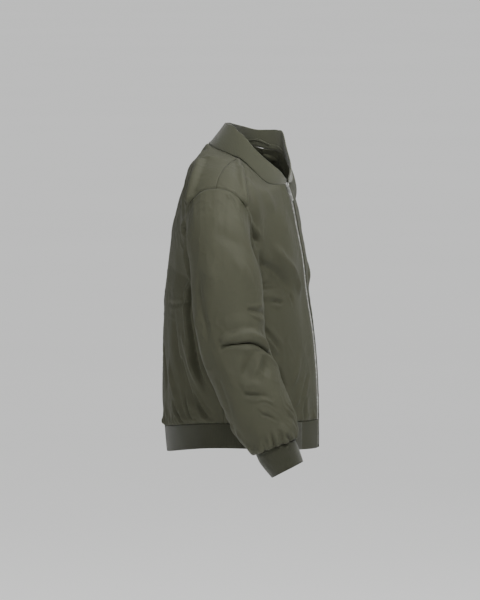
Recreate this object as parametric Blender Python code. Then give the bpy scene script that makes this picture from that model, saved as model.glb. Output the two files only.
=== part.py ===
"""Bomber jacket, olive cloth with rib-knit collar, cuffs and hem, held in its worn shape.

Metres, +Z up, +X to the wearer's left, the front faces -Y. The origin lies at the middle of the neck, at the
height where the shoulders meet it. Tables give lengths as sideways, forward (-Y) and up.
"""

import math

import bpy
import numpy as np

# Walls and joints
CLOTH = 0.0020
RIB = 0.0030
LINING = 0.0010
TAPE = 0.0010
SEAM_GAP = 0.0004
THINNEST = 0.5

# Neck: the seam ring and the collar's top ring, in half width, depth to the front and depth to the back
NECK_FORWARD = 0.028
NECK_TWIST = -14.0
SEAM_RING = (0.088, 0.079, 0.0895, 0.84)
TOP_RING = (0.078, 0.081, 0.0530, 0.96)
FRONT_EDGE = 0.006
FRONT_ANGLE = 2.4
SHOULDER_ANGLE = (86, 98)

# Zip
TEETH_HALF = 0.0028
TEETH_DEPTH = 0.0026
TAPE_INNER, TAPE_OUTER = 0.0037, 0.0139
ZIP_BEHIND = 0.0021
SLIDER_HEIGHT = -0.0722
SLIDER_HALF, SLIDER_LENGTH = 0.0046, 0.0110
PULL_LENGTH, PULL_HALF = 0.0360, 0.0032
# how far out from the tapes the chain, the slider's front plate and the pull's hinge lie
CHAIN_FRONT = TEETH_DEPTH / 2 + 0.0003
CHAIN_BACK = -TEETH_DEPTH / 2 + 0.0003
PLATE_BACK = CHAIN_FRONT + 0.0004
PLATE_FRONT = PLATE_BACK + 0.0014
AXIS_OUT = PLATE_FRONT + 0.0009

# angle round the neck, + to the wearer's left; height of the seam; height of the collar's top edge
NECK = (
    (-180, 0.018, 0.0575),
    (-144, 0.012, 0.0600),
    (-120, 0.006, 0.0600),
    (-100, -0.002, 0.0540),
    (-84, -0.014, 0.0380),
    (-64, -0.041, 0.0060),
    (-40, -0.066, -0.0230),
    (-20, -0.069, -0.0430),
    (0, -0.069, -0.0620),
    (14, -0.067, -0.0480),
    (28, -0.060, -0.0320),
    (42, -0.048, -0.0140),
    (53, -0.034, 0.0060),
    (62, -0.020, 0.0360),
    (72, -0.009, 0.0400),
    (90, -0.002, 0.0400),
    (113, 0.006, 0.0400),
    (144, 0.012, 0.0480),
    (180, 0.018, 0.0575),
)
# centre front: height, sideways, forward
FRONT_LINE = (
    (-0.640, 0.002, 0.170),
    (-0.5765, 0.002, 0.170),
    (-0.480, 0.002, 0.167),
    (-0.387, 0.001, 0.159),
    (-0.301, 0.000, 0.1455),
    (-0.228, -0.003, 0.1375),
    (-0.1656, -0.009, 0.1265),
    (-0.1075, -0.0150, 0.1160),
    (-0.069, -0.0191, 0.1047),
)
# centre back: height, sideways, forward
BACK_LINE = (
    (-0.6475, 0.000, -0.155),
    (-0.594, 0.000, -0.160),
    (-0.502, 0.000, -0.165),
    (-0.410, 0.000, -0.1655),
    (-0.320, 0.000, -0.161),
    (-0.230, 0.000, -0.151),
    (-0.180, 0.001, -0.144),
    (-0.130, 0.004, -0.134),
    (-0.080, 0.009, -0.118),
    (-0.030, 0.015, -0.092),
    (0.018, 0.0217, -0.0588),
)
# side seam: height, sideways, forward
SIDE_LINE = (
    (-0.6245, 0.179, -0.002),
    (-0.572, 0.184, -0.002),
    (-0.494, 0.193, -0.002),
    (-0.416, 0.197, -0.003),
    (-0.338, 0.197, -0.004),
    (-0.260, 0.188, -0.006),
)
HEM_FRONT, HEM_BACK, HEM_SIDE = -0.6375, -0.6475, -0.6245
# row of the panel; handle of the row's curve at the centre (out, forward, up); handle at the side
FRONT_ROWS = (
    (0, 0.055, 0.000, 0.003, -0.012, 0.000, 0.050),
    (2, 0.060, 0.006, -0.008, -0.022, 0.012, 0.046),
    (5, 0.085, 0.008, -0.014, -0.042, 0.030, 0.010),
    (7, 0.105, 0.007, -0.006, -0.020, 0.042, -0.014),
    (8, 0.110, 0.006, -0.002, -0.008, 0.050, -0.024),
    (9, 0.111, 0.005, 0.000, 0.000, 0.058, -0.030),
    (10, 0.112, 0.004, 0.000, 0.003, 0.070, -0.030),
    (11, 0.110, 0.001, 0.000, 0.004, 0.084, -0.016),
    (12, 0.108, -0.002, 0.000, 0.004, 0.090, -0.006),
    (14, 0.102, -0.008, 0.000, 0.004, 0.092, 0.000),
    (18, 0.090, -0.014, 0.000, 0.000, 0.088, 0.000),
)
BACK_ROWS = (
    (0, 0.055, 0.000, 0.003, -0.012, 0.000, 0.050),
    (2, 0.055, -0.010, 0.000, -0.018, -0.022, 0.048),
    (5, 0.085, -0.014, 0.000, -0.038, -0.050, 0.030),
    (7, 0.095, -0.008, 0.000, -0.020, -0.052, 0.000),
    (8, 0.100, -0.004, 0.000, -0.010, -0.054, -0.018),
    (9, 0.103, -0.002, 0.000, -0.001, -0.060, -0.028),
    (10, 0.105, 0.000, 0.000, 0.003, -0.072, -0.030),
    (11, 0.105, 0.000, 0.000, 0.004, -0.084, -0.016),
    (12, 0.105, 0.000, 0.000, 0.004, -0.088, -0.006),
    (14, 0.105, 0.000, 0.000, 0.004, -0.090, 0.000),
    (18, 0.100, 0.000, 0.000, 0.000, -0.087, 0.000),
)
# heights at which the rows below the neck leave the centre, and those below the armpit reach the side
FRONT_HEIGHTS = (-0.104, -0.141, -0.180, -0.221, -0.263, -0.301, -0.340)
FRONT_HEIGHTS += (-0.379, -0.418, -0.457, -0.497, -0.537, -0.5765)
BACK_HEIGHTS = (-0.030, -0.080, -0.130, -0.180, -0.230, -0.275, -0.320)
BACK_HEIGHTS += (-0.365, -0.410, -0.456, -0.502, -0.548, -0.594)
SIDE_HEIGHTS = (-0.299, -0.338, -0.377, -0.416, -0.455, -0.494, -0.533, -0.572)
# the neck's twist in the rows' handles, as a share, from the shoulder seam down
FRONT_TURNS = (0, 0.3, 0.6, 0.8, 1.0, 1.0, 0.64, 0.25, 0)
LEFT_FRONT_TURNS = (0, 0.05, 0.08, 0.1, 0.1, 0.1, 0.06, 0, 0)
BACK_TURNS = (0, 0.1, 0.2, 0.3, 0.4, 0.5, 0.3, 0.1, 0)
NECK_ROWS, ARM_ROWS, PANEL_ROWS, PANEL_COLUMNS = 5, 10, 18, 11
TAB_COLUMNS = 3
LINING_ROWS, LINING_COLUMNS = 7, 7

# sleeve and cuff sections: centre (out, forward, up), lean and fore tilt in degrees, half across,
# half fore and aft, squareness. Section 15 is the cuff seam.
SECTIONS = (
    (0, 0.219, -0.006, -0.165, 72, 0, 0.1000, 0.0660, 0.86),
    (1, 0.2525, 0.001, -0.195, 51, 0, 0.0890, 0.0690, 0.92),
    (2, 0.2635, 0.010, -0.223, 35, 0, 0.0785, 0.0715, 0.96),
    (3, 0.270, 0.0165, -0.254, 19, 0, 0.0680, 0.0730, 1.0),
    (4, 0.2715, 0.0195, -0.285, 8, 2, 0.0635, 0.0745, 1.0),
    (5, 0.271, 0.0220, -0.318, 0, 5, 0.0620, 0.0750, 1.0),
    (6, 0.270, 0.0255, -0.352, 0, 8, 0.0615, 0.0735, 1.0),
    (7, 0.270, 0.0315, -0.388, 0, 12, 0.0610, 0.0720, 1.0),
    (8, 0.269, 0.0420, -0.425, 0, 16, 0.0600, 0.0710, 1.0),
    (9, 0.267, 0.0560, -0.462, 0, 20, 0.0590, 0.0710, 1.0),
    (10, 0.265, 0.0710, -0.498, 0, 22, 0.0580, 0.0705, 1.0),
    (11, 0.263, 0.0865, -0.533, 0, 22.5, 0.0560, 0.0685, 1.0),
    (12, 0.261, 0.1015, -0.564, 0, 22.5, 0.0520, 0.0640, 1.0),
    (13, 0.259, 0.1150, -0.592, 0, 22, 0.0470, 0.0570, 1.0),
    (14, 0.258, 0.1205, -0.607, 0, 22, 0.0410, 0.0505, 1.0),
    (15, 0.258, 0.1215, -0.612, 0, 22, 0.0360, 0.0435, 1.0),
    (16, 0.2575, 0.1290, -0.628, 0, 24, 0.0355, 0.0430, 1.0),
    (17, 0.257, 0.1380, -0.644, 0, 26, 0.0340, 0.0400, 1.0),
    (18, 0.256, 0.1475, -0.660, 0, 28, 0.0320, 0.0360, 1.0),
)
CUFF_SEAM = 15
# the left arm hangs straighter: section, further back, lower, less tilt in degrees
STRAIGHTER = (
    (0, 0.000, 0.000, 0),
    (5, 0.000, 0.000, 0),
    (8, 0.008, 0.002, 4),
    (11, 0.036, 0.006, 12),
    (15, 0.062, 0.008, 13),
    (18, 0.080, 0.010, 15),
)


def read(table, key):
    """The table's columns at a key, on a smooth curve through its rows."""
    table = np.array(table, float)
    keys, values = table[:, 0], table[:, 1:]
    slopes = np.gradient(values, keys, axis=0)
    key = np.asarray(key, float)
    i = np.clip(np.searchsorted(keys, key, side="right") - 1, 0, len(keys) - 2)
    h = (keys[i + 1] - keys[i])[..., None]
    t = (key - keys[i])[..., None] / h
    start = (2 * t**3 - 3 * t**2 + 1) * values[i] + (t**3 - 2 * t**2 + t) * h * slopes[i]
    return start + (3 * t**2 - 2 * t**3) * values[i + 1] + (t**3 - t**2) * h * slopes[i + 1]


def power(value, exponent):
    return np.sign(value) * np.abs(value) ** exponent


def neck_ring(angle, ring, height):
    half, front, back, squareness = ring
    t = np.radians(angle)
    x = half * power(np.sin(t), squareness)
    f = np.where(np.cos(t) > 0, front, back) * power(np.cos(t), squareness)
    at_zip = (np.cos(t) > 0.9) & (np.abs(x) < FRONT_EDGE)
    x = np.where(at_zip, np.sign(x) * FRONT_EDGE, x)
    turn = math.radians(NECK_TWIST)
    across = x * math.cos(turn) + f * math.sin(turn)
    forward = NECK_FORWARD + f * math.cos(turn) - x * math.sin(turn)
    return np.stack([across, forward, height], -1)


def neck_point(angle, rise):
    """A point of the collar: rise 0 is its seam, 1 its top edge."""
    angle = np.asarray(angle, float)
    heights = read(NECK, angle)
    rise = np.asarray(rise, float)[..., None]
    seam = neck_ring(angle, SEAM_RING, heights[..., 0])
    top = neck_ring(angle, TOP_RING, heights[..., 1])
    return seam * (1 - rise) + top * rise


def section(number, turn, side):
    """A point of a sleeve or cuff section; turn in degrees from its outer side, + to the front."""
    x, f, z, lean, tilt, across, fore, squareness = read(SECTIONS, number)
    if side > 0:
        back, lower, less = read(STRAIGHTER, number)
        f, z, tilt = f - back, z - lower, tilt - less
    turn = np.radians(np.asarray(turn, float))
    a = power(np.cos(turn), squareness) * across
    b = power(np.sin(turn), squareness) * fore
    lean, tilt = math.radians(lean), math.radians(tilt)
    out = x + a * math.cos(lean)
    forward = f + b * math.cos(tilt)
    up = z + a * math.sin(lean) + b * math.sin(tilt)
    return np.stack([side * out, forward, up], -1)


def bezier(start, leave, end, arrive, u):
    u = np.asarray(u, float)[:, None]
    first = (1 - u) ** 3 * start + 3 * u * (1 - u) ** 2 * (start + leave)
    return first + 3 * u**2 * (1 - u) * (end + arrive) + u**3 * end


def turned(vector, share):
    """A vector turned about the upright axis by a share of the neck's twist."""
    x, f, z = vector
    turn = math.radians(NECK_TWIST) * share
    return np.array([x * math.cos(turn) + f * math.sin(turn), f * math.cos(turn) - x * math.sin(turn), z])


def front_turn(height):
    """How much of the neck's twist the front still has at a height."""
    return float(np.interp(height, [-0.165, -0.069], [0, 1]))


def front_edge(height, side):
    x, f = read(FRONT_LINE, height)
    return np.array([x, f, height]) + turned((side * FRONT_EDGE, 0, 0), front_turn(height))


def panel_turns(is_front, side):
    """The neck's twist in each row of a panel, as a share."""
    if not is_front:
        return BACK_TURNS
    return FRONT_TURNS if side < 0 else LEFT_FRONT_TURNS


def half_panel(is_front, side):
    """Half a front or back: rows from shoulder seam to hem seam, columns from the centre to the side."""
    shape = FRONT_ROWS if is_front else BACK_ROWS
    across = np.linspace(0, 1, PANEL_COLUMNS + 1)
    grid = []
    for row in range(PANEL_ROWS + 1):
        handles = read(shape, row)
        if row <= NECK_ROWS:
            first = SHOULDER_ANGLE[0] if side < 0 else SHOULDER_ANGLE[1]
            last = FRONT_ANGLE if is_front else 180
            start = neck_point(side * (first + (last - first) * row / NECK_ROWS), 0.0)
        elif is_front:
            start = front_edge(FRONT_HEIGHTS[row - NECK_ROWS - 1], side)
        else:
            height = BACK_HEIGHTS[row - NECK_ROWS - 1]
            start = np.array([*read(BACK_LINE, height), height])
        if row <= ARM_ROWS:
            turn = 180 * row / ARM_ROWS
            end = section(0, turn if is_front else -turn, side)
        else:
            height = SIDE_HEIGHTS[row - ARM_ROWS - 1]
            x, f = read(SIDE_LINE, height)
            end = np.array([side * x, f, height])
        leave = turned(handles[:3] * (side, 1, 1), panel_turns(is_front, side)[min(row, 8)])
        arrive = handles[3:] * (side, 1, 1)
        grid.append(bezier(start, leave, end, arrive, across))
    return np.array(grid)


def half_rib(is_front, side, panel):
    """The hem band below half a panel: three rows, down to the bottom edge."""
    handles = read(FRONT_ROWS if is_front else BACK_ROWS, PANEL_ROWS)
    if is_front:
        start = front_edge(HEM_FRONT, side)
    else:
        start = np.array([*read(BACK_LINE, HEM_BACK), HEM_BACK])
    x, f = read(SIDE_LINE, HEM_SIDE)
    end = np.array([side * x, f, HEM_SIDE])
    leave = handles[:3] * (side, 1, 1)
    arrive = 0.96 * handles[3:] * (side, 1, 1)
    bottom = bezier(start, leave, end, arrive, np.linspace(0, 1, PANEL_COLUMNS + 1))
    top = panel[PANEL_ROWS]
    return np.array([top * (1 - w) + bottom * w for w in (0, 0.5, 1)])


def neck_angles():
    right, left = SHOULDER_ANGLE
    steps = NECK_ROWS + 1
    near = np.concatenate([np.linspace(FRONT_ANGLE, right, steps), np.linspace(right, 180, steps)[1:]])
    far = np.concatenate([np.linspace(180, left, steps)[1:], np.linspace(left, FRONT_ANGLE, steps)[1:]])
    return np.concatenate([-near, far])


# ------------------------------------------------------------------ sheets and walls


class Surface:
    """Points shared by the sheets of the jacket, so that neighbours meet with one normal at their seam."""

    def __init__(self):
        self.points = []
        self.sheets = {}

    def index(self, point):
        if self.points:
            near = np.linalg.norm(np.array(self.points) - point, axis=1)
            best = int(np.argmin(near))
            if near[best] < 2e-6:
                return best
        self.points.append(point)
        return len(self.points) - 1

    def add(self, name, grid, outward, keep=None):
        """Adds a grid's quads to a sheet. outward(middle) gives a direction on the outer side there."""
        world = np.array(grid) * (1, -1, 1)
        ids = np.array([[self.index(point) for point in line] for line in world])
        quads = []
        votes = 0.0
        for i in range(len(ids) - 1):
            for j in range(len(ids[0]) - 1):
                if keep is None or keep(i, j):
                    quad = (ids[i, j], ids[i, j + 1], ids[i + 1, j + 1], ids[i + 1, j])
                    corners = [self.points[k] for k in quad]
                    normal = np.cross(corners[2] - corners[0], corners[3] - corners[1])
                    votes += normal @ outward(sum(corners) / 4)
                    quads.append(quad)
        if votes < 0:
            quads = [quad[::-1] for quad in quads]
        self.sheets.setdefault(name, []).extend(quads)
        return ids

    def normals(self):
        """Normals at the points, and how far walls thin out there: 1 on the flat, less in a sharp fold."""
        found = np.zeros((len(self.points), 3))
        count = np.zeros(len(self.points))
        for quads in self.sheets.values():
            for quad in quads:
                corners = [self.points[k] for k in quad]
                normal = np.cross(corners[2] - corners[0], corners[3] - corners[1])
                for k in quad:
                    found[k] += normal / np.linalg.norm(normal)
                    count[k] += 1
        length = np.linalg.norm(found, axis=1)
        return found / length[:, None], np.clip(1.6 * length / count - 0.5, THINNEST, 1)


def border(quads):
    """The directed edges that only one quad has, as (start, end, quad)."""
    edges = {}
    for quad in quads:
        for a, b in zip(quad, quad[1:] + quad[:1]):
            edges[(a, b)] = quad
    return [(a, b, quad) for (a, b), quad in edges.items() if (b, a) not in edges]


def wall(quads, points, normals, thin, thickness, inset=0.0, gap=SEAM_GAP / 2):
    """A closed wall on a sheet: its middle lies inset behind the points, and its rim is drawn in by gap."""
    pull = {}
    edges = border(quads)
    for a, b, _ in edges:
        along = points[b] - points[a]
        for k in (a, b):
            inward = np.cross(normals[k], along)
            pull.setdefault(k, []).append(inward / np.linalg.norm(inward))
    shift = {}
    for k, ways in pull.items():
        total = sum(ways)
        shift[k] = total / max(0.35, float(total @ total) / 2) * gap
    used = sorted({k for quad in quads for k in quad})
    place = {k: n for n, k in enumerate(used)}
    front, behind = [], []
    for k in used:
        middle = points[k] + shift.get(k, 0) - normals[k] * inset_of(inset, k)
        front.append(middle + normals[k] * thin[k] * thickness / 2)
        behind.append(middle - normals[k] * thin[k] * thickness / 2)
    count = len(used)
    faces = []
    for quad in quads:
        a, b, c, d = [place[k] for k in quad]
        first, second = points[quad[0]] - points[quad[2]], points[quad[1]] - points[quad[3]]
        if np.linalg.norm(first) > np.linalg.norm(second):
            a, b, c, d = b, c, d, a
        faces += [[a, b, c], [a, c, d]]
        faces += [[a + count, c + count, b + count], [a + count, d + count, c + count]]
    faces += [[place[b], place[a], place[a] + count, place[b] + count] for a, b, _ in edges]
    return front + behind, faces


def inset_of(inset, k):
    return inset(k) if callable(inset) else inset


# ------------------------------------------------------------------ objects


def clear_scene():
    for obj in list(bpy.data.objects):
        bpy.data.objects.remove(obj, do_unlink=True)


def material(name, colour, roughness, metallic=0.0):
    made = bpy.data.materials.new(name)
    made.use_nodes = True
    shader = made.node_tree.nodes["Principled BSDF"]
    shader.inputs["Base Color"].default_value = (*colour, 1)
    shader.inputs["Roughness"].default_value = roughness
    shader.inputs["Metallic"].default_value = metallic
    made.diffuse_color = (*colour, 1)
    return made


def put(name, points, faces, look):
    mesh = bpy.data.meshes.new(name)
    mesh.from_pydata([tuple(map(float, point)) for point in points], [], [list(map(int, f)) for f in faces])
    mesh.validate()
    mesh.polygons.foreach_set("use_smooth", [False] * len(mesh.polygons))
    mesh.materials.append(material(name, *look))
    obj = bpy.data.objects.new(name, mesh)
    collection.objects.link(obj)
    return obj


OLIVE = ((0.118, 0.122, 0.082), 0.80)
OLIVE_DARK = ((0.095, 0.098, 0.066), 0.85)
RIB_OLIVE = ((0.070, 0.073, 0.048), 0.90)
LINING_OLIVE = ((0.085, 0.088, 0.060), 0.75)
TAPE_GREY = ((0.150, 0.150, 0.135), 0.80)
TEETH_METAL = ((0.420, 0.420, 0.400), 0.38, 1.0)
ZIP_METAL = ((0.620, 0.620, 0.600), 0.30, 1.0)


def away_from_axis(middle):
    return np.array([middle[0], middle[1], middle[2] + 0.30])


def away_from_neck(middle):
    return np.array([middle[0], middle[1] + NECK_FORWARD, 0.0])


def make_main_sheets(surface):
    grids = {}
    for name, side in (("right", -1), ("left", 1)):
        for is_front in (True, False):
            panel = half_panel(is_front, side)
            node = "front_" + name if is_front else "back"
            grids[is_front, side] = surface.add(node, panel, away_from_axis)
            rib = half_rib(is_front, side, panel)
            if is_front:
                tab = surface.add("hem_tab_" + name, rib[:, : TAB_COLUMNS + 1], away_from_axis)
                grids["edge", side] = np.vstack([grids[True, side][NECK_ROWS:, :2], tab[1:, :2]])
                surface.add("hem_rib", rib[:, TAB_COLUMNS:], away_from_axis)
            else:
                surface.add("hem_rib", rib, away_from_axis)
        turns = np.linspace(0, 360, 2 * ARM_ROWS + 1)
        numbers = {"sleeve_": range(0, CUFF_SEAM + 1), "cuff_": range(CUFF_SEAM, len(SECTIONS))}
        for kind, range_of in numbers.items():
            grid = np.array([section(number, turns, side) for number in range_of])
            grid[:, -1] = grid[:, 0]
            middles = grid[:, :-1].mean(axis=1) * (1, -1, 1)

            def outward(middle, middles=middles):
                return middle - middles[np.argmin(np.linalg.norm(middles - middle, axis=1))]

            surface.add(kind + name, grid, outward)
    angles = neck_angles()
    rises = np.linspace(0, 1, 5)
    collar = np.array([neck_point(angles, np.full(len(angles), rise)) for rise in rises])
    surface.add("collar", collar, away_from_neck)
    return grids


def make_main_walls(surface):
    points = np.array(surface.points)
    normals, thin = surface.normals()
    walls = {"collar": RIB, "hem_rib": RIB, "cuff_right": RIB, "cuff_left": RIB}
    for name, quads in surface.sheets.items():
        if name.startswith(("collar", "hem_rib", "cuff")):
            look = RIB_OLIVE
        else:
            look = OLIVE
        put(name, *wall(quads, points, normals, thin, walls.get(name, CLOTH)), look)
    return points, normals


def make_lining(grids, points, normals):
    """The lining inside the neck: the panels' upper rows moved in, clear of the zip's tapes."""
    quads = []
    depth = {}
    for (is_front, side), ids in grids.items():
        if is_front == "edge":
            continue
        for i in range(LINING_ROWS):
            for j in range(LINING_COLUMNS):
                if is_front and i >= NECK_ROWS - 1 and j == 0:
                    continue
                quad = [int(ids[i, j]), int(ids[i, j + 1]), int(ids[i + 1, j + 1]), int(ids[i + 1, j])]
                corners = [points[k] for k in quad]
                normal = np.cross(corners[2] - corners[0], corners[3] - corners[1])
                if normal @ away_from_axis(sum(corners) / 4) < 0:
                    quad.reverse()
                quads.append(tuple(quad))
        for i in range(LINING_ROWS + 1):
            for j in range(LINING_COLUMNS + 1):
                edge = min(1.0, j / 2 if i <= NECK_ROWS else 1.0)
                depth[int(ids[i, j])] = 0.0025 + 0.0030 * edge
    even = np.ones(len(points))
    made = wall(quads, points, normals, even, LINING, inset=lambda k: depth[k], gap=0.0016)
    put("lining", *made, LINING_OLIVE)


def sweep(points, sides, ups, half_side, half_up):
    """A bar of rectangular section along the points."""
    corners = ((-1, -1), (1, -1), (1, 1), (-1, 1))
    made = []
    for point, s, u in zip(points, sides, ups):
        made += [point + s * a * half_side + u * b * half_up for a, b in corners]
    count = len(points)
    faces = [[3, 2, 1, 0], [4 * count - 4, 4 * count - 3, 4 * count - 2, 4 * count - 1]]
    for i in range(count - 1):
        for j in range(4):
            k = (j + 1) % 4
            faces.append([4 * i + j, 4 * i + k, 4 * i + 4 + k, 4 * i + 4 + j])
    return made, faces


def outward_faces(points, faces):
    """Faces turned so that they point out of the solid."""
    points = np.array(points)
    volume = 0.0
    for face in faces:
        for a, b in zip(face[1:-1], face[2:]):
            volume += np.linalg.det([points[face[0]], points[a], points[b]])
    return faces if volume > 0 else [face[::-1] for face in faces]


def collar_frame(angle, rise):
    """Point, tangent round the neck, tangent up and inward normal on the collar, in world axes."""
    step = 0.5
    here = neck_point(angle, rise) * (1, -1, 1)
    round_it = (neck_point(angle + step, rise) - neck_point(angle - step, rise)) * (1, -1, 1)
    up = (neck_point(angle, rise + 0.02) - neck_point(angle, rise - 0.02)) * (1, -1, 1)
    round_it /= np.linalg.norm(round_it)
    up /= np.linalg.norm(up)
    inward = np.cross(round_it, up)
    if inward @ away_from_neck(here) > 0:
        inward = -inward
    return here, round_it, up, inward / np.linalg.norm(inward)


def make_neck_tape():
    angles = [a for a in neck_angles() if 55 < abs(a)]
    points, sides, ups = [], [], []
    for angle in angles:
        height = np.linalg.norm(neck_point(angle, 1.0) - neck_point(angle, 0.0))
        here, _, up, inward = collar_frame(angle, 0.0078 / height)
        points.append(here + inward * (RIB / 2 + 0.0005 + TAPE / 2))
        sides.append(inward)
        ups.append(up)
    made, faces = sweep(points, sides, ups, TAPE / 2, 0.0055)
    put("neck_tape", made, outward_faces(made, faces), OLIVE_DARK)


def make_hanger_loop():
    points, sides, ups = [], [], []
    for step in range(11):
        share = step / 10
        angle = 107 + 36 * (share - 0.5)
        height = np.linalg.norm(neck_point(angle, 1.0) - neck_point(angle, 0.0))
        lift = 0.0118 + 0.0068 * math.sin(math.pi * share) ** 0.7
        here, _, up, inward = collar_frame(angle, lift / height)
        clear = RIB / 2 + 0.0033 + 0.0016 * math.sin(math.pi * share)
        points.append(here + inward * clear)
        sides.append(inward)
        ups.append(up)
    made, faces = sweep(points, sides, ups, 0.0006, 0.0021)
    put("hanger_loop", made, outward_faces(made, faces), OLIVE_DARK)


def zip_tape_line(height, side, out):
    """The tape's middle behind the front, at a distance out from the front's edge, and its outward normal."""
    edge = all_points[panel_ids["edge", side]]
    away = edge[:, 1] - edge[:, 0]
    away /= np.linalg.norm(away, axis=1)[:, None]
    normals = np.cross(away, np.gradient(edge[:, 0], axis=0)) * -side
    normals /= np.linalg.norm(normals, axis=1)[:, None]
    lines = np.hstack([edge[:, 0] + away * out - normals * ZIP_BEHIND, normals])
    found = [np.interp(-height, -edge[:, 0, 2], lines[:, k]) for k in range(6)]
    return np.array(found[:3]), np.array(found[3:]) / np.linalg.norm(found[3:])


def zip_frame(height):
    """Middle of the closed zip, with the ways sideways, down along it and outwards, in world axes."""
    def middle(z):
        ends = [zip_tape_line(z, side, TAPE_INNER - FRONT_EDGE)[0] for side in (-1, 1)]
        return (ends[0] + ends[1]) / 2, ends[1] - ends[0]

    here, sideways = middle(height)
    down = middle(height - 0.002)[0] - middle(height + 0.002)[0]
    down /= np.linalg.norm(down)
    sideways -= down * (sideways @ down)
    sideways /= np.linalg.norm(sideways)
    return here, sideways, down, np.cross(down, sideways)


def make_zip():
    edge = all_points[panel_ids["edge", 1]][1:, 0, 2]
    heights = [SLIDER_HEIGHT, *edge[edge < SLIDER_HEIGHT - 0.01]]
    heights[-1] += 0.004
    for name, side in (("right", -1), ("left", 1)):
        points, sides, ups, halves = [], [], [], []
        for height in heights:
            inner, normal = zip_tape_line(height, side, TAPE_INNER - FRONT_EDGE)
            outer, outer_normal = zip_tape_line(height, side, TAPE_OUTER - FRONT_EDGE)
            points.append((inner + outer) / 2)
            halves.append(np.linalg.norm(outer - inner) / 2)
            sides.append((outer - inner) / np.linalg.norm(outer - inner) * halves[-1])
            ups.append((normal + outer_normal) / np.linalg.norm(normal + outer_normal))
        made, faces = sweep(points, sides, ups, 1.0, TAPE / 2)
        put("zip_tape_" + name, made, outward_faces(made, faces), TAPE_GREY)
    points, sides, ups = [], [], []
    for height in heights:
        here, sideways, _, out = zip_frame(height)
        points.append(here + out * 0.0003)
        sides.append(sideways)
        ups.append(out)
    made, faces = sweep(points, sides, ups, TEETH_HALF, TEETH_DEPTH / 2)
    put("zip_chain", made, outward_faces(made, faces), TEETH_METAL)


def zip_place(local):
    """Local (sideways, down, out) points about the slider's middle, in world axes."""
    here, sideways, down, out = zip_frame(SLIDER_HEIGHT)
    axes = np.array([sideways, down, out])
    return [here + np.array(point) @ axes for point in local]


def block(name, low, high, look=None, taper=0.0):
    """A box in the zip's local axes, narrower at its lower end by the taper."""
    (x0, y0, z0), (x1, y1, z1) = low, high
    local = []
    for z in (z0, z1):
        local += [(x0, y0, z), (x1, y0, z), (x1 - taper, y1, z), (x0 + taper, y1, z)]
    faces = [[0, 1, 2, 3], [7, 6, 5, 4], [0, 4, 5, 1], [1, 5, 6, 2], [2, 6, 7, 3], [3, 7, 4, 0]]
    points = zip_place(local)
    obj = put(name, points, outward_faces(points, faces), look or ZIP_METAL)
    return obj


def fuse(target, others):
    for other in others:
        joined = target.modifiers.new("join", "BOOLEAN")
        joined.operation = "UNION"
        joined.solver = "EXACT"
        joined.object = other
        other.hide_render = True
        other.display_type = "WIRE"


def make_slider():
    half, reach = SLIDER_HALF, SLIDER_LENGTH / 2
    body = block("zip_slider", (-half, -reach, PLATE_BACK), (half, reach, PLATE_FRONT), taper=0.0010)
    back_low = CHAIN_BACK - 0.0004 - 0.0011
    rear = block("slider_rear", (-half, -reach, back_low), (half, reach, back_low + 0.0011), taper=0.0010)
    wedge = block("slider_wedge", (-0.0026, -reach, back_low + 0.0002), (0.0026, -0.0009, PLATE_FRONT - 0.0002))
    post = PLATE_FRONT - 0.0002
    top = AXIS_OUT + 0.0014
    upper = block("slider_post_a", (-0.0010, -0.0032, post), (0.0010, -0.0021, top))
    lower = block("slider_post_b", (-0.0010, 0.0021, post), (0.0010, 0.0032, top))
    bar = block("slider_bar", (-0.0010, -0.0032, AXIS_OUT + 0.0009), (0.0010, 0.0032, AXIS_OUT + 0.0018))
    fuse(body, [rear, wedge, upper, lower, bar])


def make_pull():
    """A flat tab with an eye: its top bar, a small round one, runs under the slider's bridge."""
    thin = 0.0005
    arm_low, arm_high = 0.0015, 0.0027
    ring = [(math.cos(a) * thin, math.sin(a) * thin) for a in np.radians(np.arange(22.5, 360, 45))]
    points, faces = [], []
    for x in (-arm_high + 0.0001, arm_high - 0.0001):
        points += [(x, down, AXIS_OUT + out) for down, out in ring]
    count = len(ring)
    faces.append(list(range(count)))
    faces.append([2 * count - 1 - k for k in range(count)])
    for k in range(count):
        n = (k + 1) % count
        faces.append([k, k + count, n + count, n])
    world = zip_place(points)
    bar = put("pull_bar", world, outward_faces(world, faces), ZIP_METAL)
    body = block("zip_pull", (-PULL_HALF, 0.0044, AXIS_OUT - 0.0007), (PULL_HALF, PULL_LENGTH, AXIS_OUT + 0.0007))
    arms = []
    for k, side in enumerate((-1, 1)):
        low, high = sorted((side * arm_low, side * arm_high))
        name = "pull_arm_" + "ab"[k]
        arms.append(block(name, (low, 0.0, AXIS_OUT - thin), (high, 0.0048, AXIS_OUT + thin)))
    fuse(body, [bar] + arms)
    hole = block("pull_hole", (-0.0014, 0.0262, AXIS_OUT - 0.003), (0.0014, 0.0325, AXIS_OUT + 0.003))
    cut = body.modifiers.new("hole", "BOOLEAN")
    cut.operation = "DIFFERENCE"
    cut.solver = "EXACT"
    cut.object = hole
    hole.hide_render = True
    hole.display_type = "WIRE"


clear_scene()
collection = bpy.data.collections.new("bomber_jacket")
bpy.context.scene.collection.children.link(collection)
shared = Surface()
panel_ids = make_main_sheets(shared)
all_points, all_normals = make_main_walls(shared)
make_lining(panel_ids, all_points, all_normals)
make_neck_tape()
make_hanger_loop()
make_zip()
make_slider()
make_pull()
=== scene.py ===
"""Looks of the olive bomber jacket: creased cloth, knit ribs, stitching and zip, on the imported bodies.

Lengths are metres. Tables of the form give sideways, forward and up, as on the pattern; forward is -Y.
"""

import math

import bmesh
import bpy
import numpy as np
from mathutils import Matrix, Vector, noise


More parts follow.
